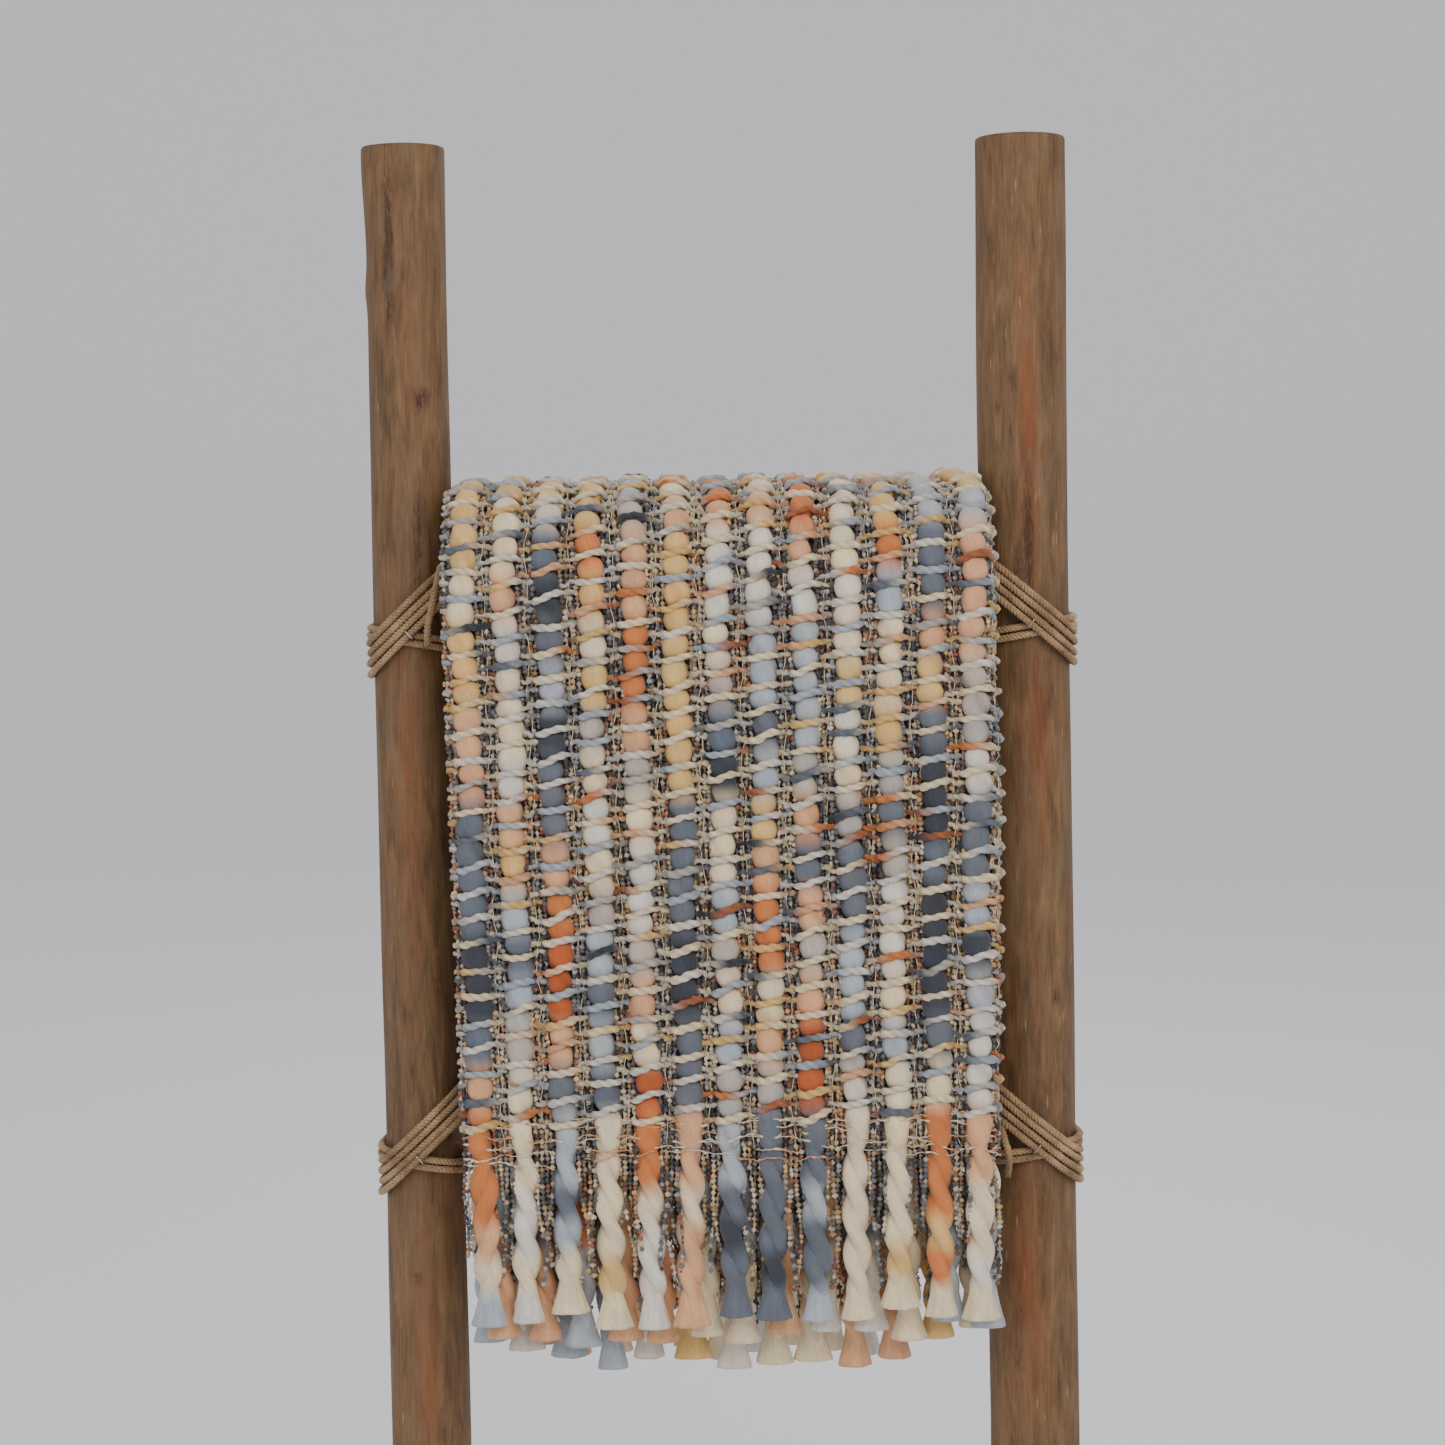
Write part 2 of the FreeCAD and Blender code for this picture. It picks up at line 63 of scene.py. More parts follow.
rungMiddles = [nodeMiddle("rung_%d" % number) for number in (1, 2, 3, 4)]
upward = rungMiddles[3] - rungMiddles[0]
upward[0] = 0
upward /= np.linalg.norm(upward)
lean = math.atan2(upward[1], upward[2])
frontward = np.array([0, -math.cos(lean), math.sin(lean)])
sideward = np.array([1.0, 0, 0])
foot = rungMiddles[0] - upward * rungMiddles[0][2] / upward[2]
foot[0] = 0
rungAlong = [float(np.dot(middle - foot, upward)) for middle in rungMiddles]


def onLadder(x, along, out):
    x, along, out = np.broadcast_arrays(x, along, out)
    return foot + x[..., None] * sideward + along[..., None] * upward + out[..., None] * frontward


# ---- small helpers

def toLinear(code):
    parts = [int(code[i:i + 2], 16) / 255 for i in (1, 3, 5)]
    return tuple(v / 12.92 if v <= 0.04045 else ((v + 0.055) / 1.055) ** 2.4 for v in parts)


def opaque(code):
    return toLinear(code) + (1.0,)


def addNode(tree, kind, links=None, stops=(), **settings):
    # links gives each input a value, a socket, or a node whose first output feeds it
    node = tree.nodes.new(kind)
    for name, value in settings.items():
        setattr(node, name, value)
    for name, value in (links or {}).items():
        if isinstance(value, bpy.types.Node):
            value = value.outputs[0]
        if isinstance(value, bpy.types.NodeSocket):
            tree.links.new(value, node.inputs[name])
        else:
            node.inputs[name].default_value = value
    if stops:
        ramp = node.color_ramp
        while len(ramp.elements) < len(stops):
            ramp.elements.new(0.5)
        for element, (place, code) in zip(ramp.elements, stops):
            element.position = place
            element.color = opaque(code)
    return node


def makeMaterial(name, build, *values):
    # build fills the tree and gives back its shader
    material = bpy.data.materials.new(name)
    material.use_nodes = True
    tree = material.node_tree
    tree.nodes.clear()
    addNode(tree, "ShaderNodeOutputMaterial", {"Surface": build(tree, *values)})
    return material


rangeSockets = ("From Min", "From Max", "To Min", "To Max")


def addObject(name, data):
    thing = bpy.data.objects.new(name, data)
    bpy.context.scene.collection.objects.link(thing)
    return thing


def around(sides):
    return np.arange(sides) * 2 * math.pi / sides


def gridFaces(rings, sides):
    # the quads of a tube's wall, its rings one after another
    row = np.arange(rings - 1)[:, None] * sides
    side = np.arange(sides)[None]
    nextSide = (side + 1) % sides
    return np.stack([row + side, row + nextSide, row + sides + nextSide, row + sides + side], -1).reshape(-1, 4)


def smooth(value, low, high):
    t = np.clip((value - low) / (high - low), 0, 1)
    return t * t * (3 - 2 * t)


def unit(vectors):
    return vectors / np.maximum(np.linalg.norm(vectors, axis=-1, keepdims=True), 1e-9)


fieldKinds = {1: ("FLOAT", "value"), 3: ("FLOAT_VECTOR", "vector"), 4: ("FLOAT_COLOR", "color")}


def makePiece(name, points, quads, triangles, materials, fields=None, faceMaterial=None):
    quads = np.asarray(quads, dtype=np.int32).reshape(-1, 4)
    triangles = np.asarray(triangles, dtype=np.int32).reshape(-1, 3)
    corners = np.concatenate([quads.ravel(), triangles.ravel()])
    starts = np.concatenate([np.arange(len(quads)) * 4, len(quads) * 4 + np.arange(len(triangles)) * 3])
    mesh = bpy.data.meshes.new(name)
    mesh.vertices.add(len(points))
    mesh.loops.add(len(corners))
    mesh.polygons.add(len(starts))
    mesh.vertices.foreach_set("co", (np.asarray(points) * milli).astype(np.float32).ravel())
    mesh.polygons.foreach_set("loop_start", starts.astype(np.int32))
    mesh.polygons.foreach_set("vertices", corners)
    for material in materials:
        mesh.materials.append(material)
    if faceMaterial is not None:
        mesh.polygons.foreach_set("material_index", np.asarray(faceMaterial, dtype=np.int32))
    mesh.update(calc_edges=True)
    mesh.shade_smooth()
    for field, values in (fields or {}).items():
        values = np.asarray(values, dtype=np.float32)
        kind, key = fieldKinds[values.shape[1] if values.ndim > 1 else 1]
        mesh.attributes.new(field, kind, "POINT").data.foreach_set(key, values.ravel())
    mesh.validate()
    return addObject(name, mesh)


tubeShift = 61.0    # sets neighbouring tubes apart in the fibre pattern


class Bundle:
    # many tubes gathered into one mesh, with a colour and a place along the fibres at each point
    def __init__(self):
        self.points = []
        self.quads = []
        self.triangles = []
        self.colours = []
        self.places = []
        self.count = 0
        self.tubes = 0

    def addTube(self, centre, up, wide, high, colour, sides, twist=0.0, domed=0.0):
        rings = len(centre)
        tangent = unit(np.gradient(centre, axis=0))
        across = unit(np.cross(up, tangent))
        above = np.cross(tangent, across)
        angle = around(sides)
        wide, high = [np.broadcast_to(np.reshape(half, (rings, -1)) if np.ndim(half) else half, (rings, sides))
                      for half in (wide, high)]
        body = (centre[:, None] + (np.cos(angle) * wide)[..., None] * across[:, None]
                + (np.sin(angle) * high)[..., None] * above[:, None])
        steps = np.linalg.norm(np.diff(centre, axis=0), axis=1)
        run = np.concatenate([[0], np.cumsum(steps)])
        turned = angle[None] + twist * run[:, None]
        shift = tubeShift * self.tubes
        place = np.stack([np.cos(turned) * wide + shift, np.sin(turned) * high,
                          np.broadcast_to(run[:, None], (rings, sides))], -1)
        caps = [centre[0] - tangent[0] * domed, centre[-1] + tangent[-1] * domed]
        self.points.append(np.concatenate([body.reshape(-1, 3), caps]))
        colour = np.asarray(colour)
        if colour.ndim < 3:
            colour = np.repeat(np.broadcast_to(colour, (rings, 3))[:, None], sides, axis=1)
        flat = np.concatenate([colour.reshape(-1, 3), colour[0, :1], colour[-1, :1]])
        self.colours.append(np.concatenate([flat, np.ones((len(flat), 1))], axis=1))
        self.places.append(np.concatenate([place.reshape(-1, 3), [[shift, 0, run[0]], [shift, 0, run[-1]]]]))
        self.quads.append(gridFaces(rings, sides) + self.count)
        side = np.arange(sides)
        nextSide = (side + 1) % sides
        first = rings * sides
        last = first - sides
        low = np.stack([np.full(sides, first), nextSide, side], -1)
        high = np.stack([np.full(sides, first + 1), last + side, last + nextSide], -1)
        self.triangles.append(np.concatenate([low, high]) + self.count)
        self.count += first + 2
        self.tubes += 1

    def finish(self, name, material):
        piece = makePiece(name, np.concatenate(self.points), np.concatenate(self.quads),
                          np.concatenate(self.triangles), [material],
                          {"yarnColour": np.concatenate(self.colours), "fibrePlace": np.concatenate(self.places)})
        print("made", name, len(piece.data.polygons), "faces")
        return piece


# ---- camera, first, at head height in front of the ladder and a little above the throw

view = dict(sideways=-1, along=1339.5, distance=2450, raised=2.5, roll=-0.95, lens=76.3)


def addCamera():
    aim = onLadder(view["sideways"], view["along"], 0.0)
    raised = math.radians(view["raised"])
    back = frontward * math.cos(raised) + upward * math.sin(raised)
    place = Vector((aim + back * view["distance"]) * milli)
    camera = addObject("camera", bpy.data.cameras.new("camera"))
    turn = Vector(back).to_track_quat("Z", "Y").to_matrix() @ Matrix.Rotation(math.radians(view["roll"]), 3, "Z")
    camera.matrix_world = Matrix.Translation(place) @ turn.to_4x4()
    camera.data.lens = view["lens"]
    camera.data.sensor_width = 36
    camera.data.clip_start = 0.05
    bpy.context.scene.camera = camera


addCamera()
print("camera set")


# ---- yarn colours, as a dyer would name them

dyes = {
    "c": "#ecdab6",    # cream
    "w": "#dfd8cb",    # grey white
    "s": "#e3ba76",    # straw
    "p": "#e0aa80",    # peach
    "o": "#d07c46",    # orange
    "r": "#bb5d30",    # deep orange
    "b": "#adb6be",    # pale blue grey
    "g": "#b8b0a6",    # warm grey
    "l": "#666d79",    # slate
    "n": "#3e414b",    # navy
    "k": "#a8623f",    # rust
}
dyeTable = {letter: np.array(toLinear(code)) for letter, code in dyes.items()}


def dyedAlong(letters, run, length):
    # each letter holds one stretch of the yarn, and neighbours bleed into each other
    knots = []
    colours = []
    for index, letter in enumerate(letters):
        for share in (0.25, 0.75):
            knots.append((index + share) * length)
            colours.append(dyeTable[letter])
    colours = np.array(colours)
    return np.stack([np.interp(run, knots, colours[:, channel]) for channel in range(3)], -1)


def chance(rng, letters, weights, count):
    weights = np.array(weights, float)
    return "".join(rng.choice(list(letters), p=weights / weights.sum()) for _ in range(count))


# ---- yarn materials

def yarnTree(tree, fibreWide, fibreLong, contrast, bumpDepth, roughness, sheen):
    # Soft yarn, dyed in patches. To the eye: matt, soft-edged, with fine lines along the fibres.
    colour = addNode(tree, "ShaderNodeAttribute", attribute_name="yarnColour")
    place = addNode(tree, "ShaderNodeAttribute", attribute_name="fibrePlace").outputs["Vector"]
    drawn = addNode(tree, "ShaderNodeMapping",
                    {"Vector": place, "Scale": (1 / fibreWide, 1 / fibreWide, 1 / fibreLong)})
    fibres = addNode(tree, "ShaderNodeTexNoise", {"Vector": drawn, "Scale": 1.0, "Detail": 3.0, "Roughness": 0.6})
    slow = addNode(tree, "ShaderNodeMapping", {"Vector": place, "Scale": (0.09, 0.09, 0.045)})
    patches = addNode(tree, "ShaderNodeTexNoise", {"Vector": slow, "Scale": 1.0, "Detail": 2.0})
    light, tone = [addNode(tree, "ShaderNodeMapRange",
                           {"Value": noise, **dict(zip(rangeSockets, (0.3, 0.7) + levels))})
                   for noise, levels in ((fibres, (1 - contrast, 1 + contrast * 0.6)), (patches, (0.86, 1.1)))]
    both = addNode(tree, "ShaderNodeMath", {0: light, 1: tone}, operation="MULTIPLY")
    final = addNode(tree, "ShaderNodeVectorMath", {0: colour, "Scale": both}, operation="SCALE")
    bump = addNode(tree, "ShaderNodeBump", {"Height": fibres, "Strength": 0.7, "Distance": bumpDepth * milli})
    return addNode(tree, "ShaderNodeBsdfPrincipled",
                   {"Base Color": final, "Roughness": roughness, "Sheen Weight": sheen, "Sheen Roughness": 0.5,
                    "Specular IOR Level": 0.25, "Normal": bump})


rovingWool = makeMaterial("unspun wool roving", yarnTree, 0.9, 26, 0.16, 0.7, 0.85, 0.25)
plyYarn = makeMaterial("two-ply acrylic yarn", yarnTree, 0.8, 9, 0.22, 0.5, 0.8, 0.2)
boucleYarn = makeMaterial("boucle cotton yarn", yarnTree, 0.9, 2.2, 0.3, 0.6, 0.9, 0.1)


# ---- the throw, folded in an S from side to side and hung over the top rung

throwShape = dict(
    selvedge=18.0, pitch=33.2, outerColumns=13, allColumns=39,
    turnRadius=12.2, middleLayer=395.0, foldRadius=88.0,
    rowPitch=10.2, hemBand=25.0, bunch=0.38, slip=0.5)
columnPitch = throwShape["pitch"]
rowPitch = throwShape["rowPitch"]
hemBand = throwShape["hemBand"]
frontColumns = throwShape["outerColumns"]
allColumns = throwShape["allColumns"]
topRung = rungMiddles[3]
outerEdge = throwShape["selvedge"] + columnPitch * (frontColumns - 1) + 1.5
throwWidth = 2 * throwShape["selvedge"] + columnPitch * (allColumns - 1)
frontTurn = math.pi / 2 - lean
halfTurn = math.pi / 2


def hemPlaces():
    # cloth length from the crest to the hems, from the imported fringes' tops and the body's own ends
    frontHigh = nodeSpan("throw_fringe_front")[1][2]
    backLow = nodeSpan("throw_body")[0][2]
    radius = throwShape["foldRadius"]
    tangentHeight = topRung[2] + radius * math.sin(lean)
    front = radius * frontTurn + (tangentHeight - frontHigh) / upward[2]
    back = radius * halfTurn + topRung[2] - backLow
    return front, back


frontLength, backLength = hemPlaces()
print("throw: front %.0f mm, back %.0f mm, width %.0f mm" % (frontLength, backLength, throwWidth))


def swell(w, l):
    # slow unevenness of a hand-made cloth
    return (1.3 * np.sin(w / 47 + 1.1) * np.sin(l / 71 + 0.4) + 0.9 * np.sin(w / 19 + l / 83)
            + 0.8 * np.sin(l / 29 + w / 140 + 2.0))


def clothPoint(w, l, h):
    # w runs across the cloth through its folds, l from the crest to the front hem (and minus to the back)
    w, l, h = np.broadcast_arrays(np.asarray(w, float), np.asarray(l, float), np.asarray(h, float))
    turnRadius = throwShape["turnRadius"]
    middle = throwShape["middleLayer"]
    turn = math.pi * turnRadius
    first = np.clip((w - outerEdge) / turnRadius, 0, math.pi)
    second = np.clip((w - outerEdge - turn - middle) / turnRadius, 0, math.pi)
    backward = np.clip(w - outerEdge - turn, 0, middle)
    inner = np.maximum(w - outerEdge - 2 * turn - middle, 0)
    x = np.minimum(w, outerEdge) + turnRadius * np.sin(first) - backward - turnRadius * np.sin(second) + inner
    depth = turnRadius * (2 - np.cos(first) - np.cos(second))
    heading = first - second
    h = h + swell(w, l)
    sideAt = x + np.sin(heading) * h
    edge = smooth(np.abs(sideAt - outerEdge / 2), 150, 185)
    squeeze = 1 - throwShape["bunch"] * edge
    layer = throwShape["foldRadius"] - depth * squeeze
    l = l - throwShape["slip"] * depth
    angle = np.clip(l / layer, -halfTurn, frontTurn)
    frontRun = np.maximum(l - layer * frontTurn, 0)
    backRun = np.maximum(-l - layer * halfTurn, 0)
    radius = layer + np.cos(heading) * h * (1 - 0.25 * edge)
    radius = radius + 6.0 * smooth(sideAt, outerEdge - 26, outerEdge + 12) * (1 - 0.7 * smooth(frontRun, 0, 120))
    out = radius * np.sin(angle + lean)
    spread = smooth(out, 8, 36)
    topX = -209.5 + 0.937 * sideAt
    frontX = -217.5 + 0.988 * sideAt + frontRun * 0.008 - (sideAt - outerEdge / 2) * 0.02 * frontRun / 430
    xWorld = topX + (frontX - topX) * spread
    y = topRung[1] - radius * np.sin(angle) - frontRun * upward[1]
    z = topRung[2] + radius * np.cos(angle) - frontRun * upward[2] - backRun
    return np.stack([xWorld, y, z], -1)


def clothUp(w, l):
    return unit(clothPoint(w, l, 1.0) - clothPoint(w, l, -1.0))


rowCount = int((frontLength + backLength - 2 * hemBand) / rowPitch)
rowNoise = np.random.default_rng(11).uniform(-1.6, 1.6, rowCount)
columnPlaces = throwShape["selvedge"] + columnPitch * np.arange(allColumns)


def gapPlace(gap, share):
    # the gap before the first column is gap -1
    start = columnPlaces[gap] if gap >= 0 else columnPlaces[0] - columnPitch
    return start + columnPitch * share


def rowPlace(row, w):
    drift = 2.4 * np.sin(w / 95 + 1.0) + 1.0 * np.sin(w / 37 + 0.6)
    return frontLength - hemBand - row * rowPitch + rowNoise[row] + drift


# colour runs from the crest down to the front hem, one string for each front column
columnDyes = ["ssscsspplllnnlpo", "sccpwccwpsblbgcc", "swlnlbnllporrplb", "ssoscsgcwcgblblc", "bgppoopgcwwgpcro",
              "cpsssssslllnnllp", "opwwcglnccbgcbgb", "cpwwbblbspoocpgl", "oopwbbbgplpgprrl", "cccwcswcgllbblwc",
              "ssobccsglgwwcbcc", "bbllpslnnlnnnlco", "sbpppggwllbnbwwp"]
dyeLength = frontLength / 16


def rovingColour(column, l):
    rng = np.random.default_rng(500 + column)
    backDyes = chance(rng, "cwspobgln", [18, 12, 14, 12, 6, 10, 6, 12, 8], 24)
    if column < frontColumns:
        frontDyes = columnDyes[column]
    else:
        frontDyes = chance(rng, "cwspobgln", [18, 12, 14, 12, 8, 10, 6, 12, 8], 16)
    letters = backDyes + frontDyes + frontDyes[-1] * 2
    colour = dyedAlong(letters, l + 24 * dyeLength, dyeLength)
    tint = np.stack([sum(np.sin(l / span + phase + channel * shift) for span, phase, shift in
                         ((5.3, column, 0.3), (12.1, 2 * column, 0.8), (19.0, 3 * column, 1.1))) / 3
                     for channel in range(3)], -1)
    return colour * (1 + 0.1 * tint)


shadeTint = np.array([0.55, 0.47, 0.42])    # painted shade, a little warm, laid on the rovings' sides and undersides, their pinches and their creases


def addRoving(bundle, column, low, high, step, sides):
    # a thick soft column, squeezed where every second weft row passes over it
    rng = np.random.default_rng(900 + column)
    l = np.arange(low, high + step / 2, step)
    w = columnPlaces[column] + 1.5 * np.sin(l / 31 + column) + 1.0 * np.sin(l / 13 + 2 * column)
    rows = np.arange(rowCount)
    rows = rows[(rows + column) % 2 == 0]
    places = rowPlace(rows, columnPlaces[column])
    strength = rng.uniform(0.65, 1.0, len(rows))
    away = l[:, None] - places[None]
    pinch = (np.exp(-(away / 3.9) ** 2) * strength).max(axis=1)
    apart = np.clip(np.abs(away).min(axis=1) / rowPitch, 0, 1)
    pillow = 1 - (1 - apart) ** 1.7
    tight = np.interp(l, places[::-1], rng.uniform(0.2, 1.0, len(rows)))
    plump = np.interp(l, places[::-1], rng.uniform(-1, 1, len(rows)))
    wide = 10.7 + 0.9 * plump - (1 - pillow) * (2.0 + 3.2 * tight)
    high = 8.3 + 0.6 * plump - 3.4 * pinch - 1.6 * (1 - pillow)
    past = np.maximum(l - frontLength, -l - backLength)
    wide = wide * (1 - 0.14 * smooth(past, -hemBand, -hemBand / 2))
    tip = smooth(past, -9, 4)
    wide = wide * (1 - 0.5 * tip)
    high = high * (1 - 0.5 * tip)
    height = 1.2 - 2.2 * pinch
    angle = around(sides)
    lobes = (1 + 0.035 * np.cos(3 * (angle[None] - l[:, None] / 17 + column))
             + 0.02 * np.cos(5 * angle[None] + l[:, None] / 9))
    helix = angle[None] + 2 * math.pi * l[:, None] / 74 + 1.9 * column + 0.8 * np.sin(l[:, None] / 37 + column)
    creased = smooth(np.sin(l / 41 + 2.3 * column), -0.4, 0.6)[:, None]
    crease = np.exp(-((helix % (2 * math.pi) - math.pi) / 0.36) ** 2) * creased
    lobes = lobes - 0.15 * crease
    # painted shade: each roving is darker away from its outer face, at every pinch and in every crease; 1 means
    # fully lit
    paintedLitShare = smooth(np.sin(angle), -0.2, 0.85)[None] * (1 - 0.35 * pinch[:, None]) * (1 - 0.4 * crease)
    colour = rovingColour(column, l)[:, None] * (shadeTint + (1 - shadeTint) * paintedLitShare[..., None])
    bundle.addTube(clothPoint(w, l, height), clothUp(w, l), wide[:, None] * lobes, high[:, None] * lobes,
                   colour, sides, twist=0.035)


def plyLobes(run, sides, lay, depth):
    return 1 + depth * np.cos(2 * (around(sides)[None] - 2 * math.pi * run[:, None] / lay))


weft = dict(over=7.2, under=-6.5, gap=2.6, thick=3.0, thin=2.1, sides=7, lay=17.0, seed=77)
overSteps = np.linspace(-16.6, 16.6, 21)[:-1]
underSteps = np.array([-16.6, -14.9, -13.3, -11.6, -9.8, -6, 0, 6, 9.8, 11.6, 13.3, 14.9])


def addWeft(bundle, row, firstColumn, lastColumn, startExtra, endExtra, fine):
    rng = np.random.default_rng(weft["seed"] * 1000 + row * 7 + firstColumn)
    pieces = []
    for column in range(firstColumn, lastColumn + 1):
        over = (row + column) % 2 == 0
        q = overSteps[::1 if fine else 2] if over else underSteps
        q = q[(q > -startExtra) | (column > firstColumn)]
        shape = smooth(np.abs(q), 7.5, 13.2)
        peak = weft["over"] + rng.uniform(-0.4, 0.5) if over else weft["under"]
        height = peak + (weft["gap"] - peak) * shape
        rise = rng.uniform(0.2, 3.3) if over else -rng.uniform(0.4, 2.9)
        slope = rise * np.tanh(q / rng.uniform(3.5, 7.5)) + rng.uniform(-0.9, 0.9) * np.cos(q / 5.3)
        radius = weft["thick"] + (weft["thin"] - weft["thick"]) * shape + rng.uniform(-0.45, 0.4)
        beads = 0.24 * np.cos(2 * math.pi * (q - 12.3) / 3.7) * shape
        ripple = np.cos(2 * math.pi * (q + 16.6) / 7.4 + math.pi * row)
        height = height + 1.6 * ripple * smooth(np.abs(q), 9.5, 12.5)
        pieces.append(np.stack([columnPlaces[column] + q, height, -slope, radius * (1 + beads), shape], -1))
    last = columnPlaces[lastColumn] + np.arange(16.6, endExtra, 2.5)
    if len(last):
        pieces.append(np.stack([last, np.full(len(last), weft["gap"]), np.zeros(len(last)),
                                np.full(len(last), weft["thin"]), np.ones(len(last))], -1))
    track = np.concatenate(pieces)
    w = track[:, 0]
    l = rowPlace(row, w) + track[:, 2] + 0.5 * np.sin(w / 7 + row)
    letters = chance(rng, "cwbgsplonk", [34, 22, 15, 7, 8, 5, 7, 4.5, 2.5, 2.5], 16)
    colour = dyedAlong(letters, np.clip((w - w[0] + rng.uniform(0, 40)) % 512, 0, 512), 32.0)
    # painted shade: the weft is darker where it dips into the gaps between the thick columns
    colour = colour * (1 - 0.24 * track[:, 4:5])
    radius = track[:, 3]
    lobes = plyLobes(w + rng.uniform(0, 9), weft["sides"], weft["lay"], 0.16)
    # painted shade in the grooves between the plies
    colour = colour[:, None] * (0.84 + 1.0 * (lobes - 1))[..., None]
    bundle.addTube(clothPoint(w, l, track[:, 1]), clothUp(w, l), radius[:, None] * lobes, radius[:, None] * lobes,
                   colour, weft["sides"], twist=0.37, domed=1.0)


# four thin boucle warps and a white binding thread stand in each gap between two thick columns
gapYarns = dict(places=(0.315, 0.43, 0.565, 0.685), core=0.55, knob=1.75, knobEvery=(3.3, 5.0), sides=(4, 5),
                sparse=(1.75, 1.0), seed=31)


def knobTrack(rng, low, high, sparse):
    count = int((high - low) / gapYarns["knobEvery"][0]) + 2
    spots = np.cumsum(rng.uniform(*gapYarns["knobEvery"], count)) * sparse + low
    spots = spots[spots < high - 2]
    l = (spots[:, None] + np.array([-1.7, -0.6, 0.6, 1.7])).ravel()
    size = np.tile([0.1, 0.9, 0.9, 0.1], len(spots)) * np.repeat(rng.uniform(0.5, 1.3, len(spots)), 4)
    return l, gapYarns["core"] + gapYarns["knob"] * size


def beadColours(rng, gap, l):
    # each knob takes its own dye, from a mood that changes down the gap
    moods = ["kcrpgnsw", "nlcnblwg", "cgsclwcp", "lnbcgnlk", "nkgcnlcs"]
    order = np.random.default_rng(5060 + gap).integers(0, len(moods), 64)
    mood = order[np.clip(((l + 800) / 62).astype(int), 0, 63)]
    picks = rng.integers(0, 8, len(l) // 4 + 1)
    colours = np.array([dyeTable[moods[m][picks[i // 4]]] for i, m in enumerate(mood)])
    means = np.array([np.mean([dyeTable[letter] for letter in name], axis=0) for name in moods])
    colours = (colours * 0.7 + means[mood] * 0.3) * 0.88
    return colours * np.repeat(rng.uniform(0.55, 1.15, len(l) // 4 + 1), 4)[:len(l), None]


def addWarp(bundle, gap, number, low, high, fine):
    rng = np.random.default_rng(gapYarns["seed"] + gap * 10 + number)
    l, radius = knobTrack(rng, low, high, gapYarns["sparse"][fine])
    w = gapPlace(gap, gapYarns["places"][number])
    w = w + 0.8 * np.sin(l / 11 + number * 2 + gap) + rng.uniform(-0.9, 0.9, len(l))
    wave = np.cos(math.pi * (l - frontLength) / rowPitch + math.pi * number)
    height = 1.2 + 2.2 * wave + rng.uniform(-0.6, 0.6, len(l))
    beadColour = beadColours(rng, gap, l)
    bundle.addTube(clothPoint(w, l, height), clothUp(w, l), radius, radius * 0.9, beadColour,
                   gapYarns["sides"][fine], domed=0.5)


def addBinding(bundle, gap, low, high):
    rng = np.random.default_rng(4000 + gap)
    l = np.arange(low, high, 4.4)
    w = gapPlace(gap, 0.5) + 1.6 * np.sin(l / 8.5 + gap) + rng.uniform(-0.6, 0.6, len(l))
    height = 3.2 + 1.4 * np.cos(2 * math.pi * l / rowPitch)
    bundle.addTube(clothPoint(w, l, height), clothUp(w, l), 0.34, 0.34, dyeTable["c"], 4)


def addHemRow(bundle, place, phase, low, high):
    # thin off-white threads that lock the ends of the cloth, in short lengths
    rng = np.random.default_rng(int(abs(place) * 10) + 5)
    start = low
    while start < high - 12:
        stop = min(start + rng.uniform(24, 80), high)
        w = np.arange(start, stop, 2.6)
        over = np.abs(np.cos(math.pi * (w - columnPlaces[0]) / columnPitch))
        height = 1.6 + 6.6 * np.sqrt(over)
        l = place + rng.uniform(-4, 4) + 2.6 * np.sin(w / 23 + 2 * phase) + 1.3 * np.sin(w / 5 + phase)
        l = l + rng.uniform(-0.7, 0.7, len(w))
        thick = rng.uniform(0.34, 0.55, len(w)) + 0.7 * (rng.random(len(w)) < 0.16)
        tone = dyeTable[rng.choice(list("cwcp"))] * rng.uniform(0.8, 1.1, (len(w), 1))
        bundle.addTube(clothPoint(w, l, height), clothUp(w, l), thick, thick, tone, 4)
        start = stop + rng.uniform(-4, 26)


throwPieces = []


def keep(bundle, name, material):
    piece = bundle.finish(name, material)
    throwPieces.append(piece)
    return piece


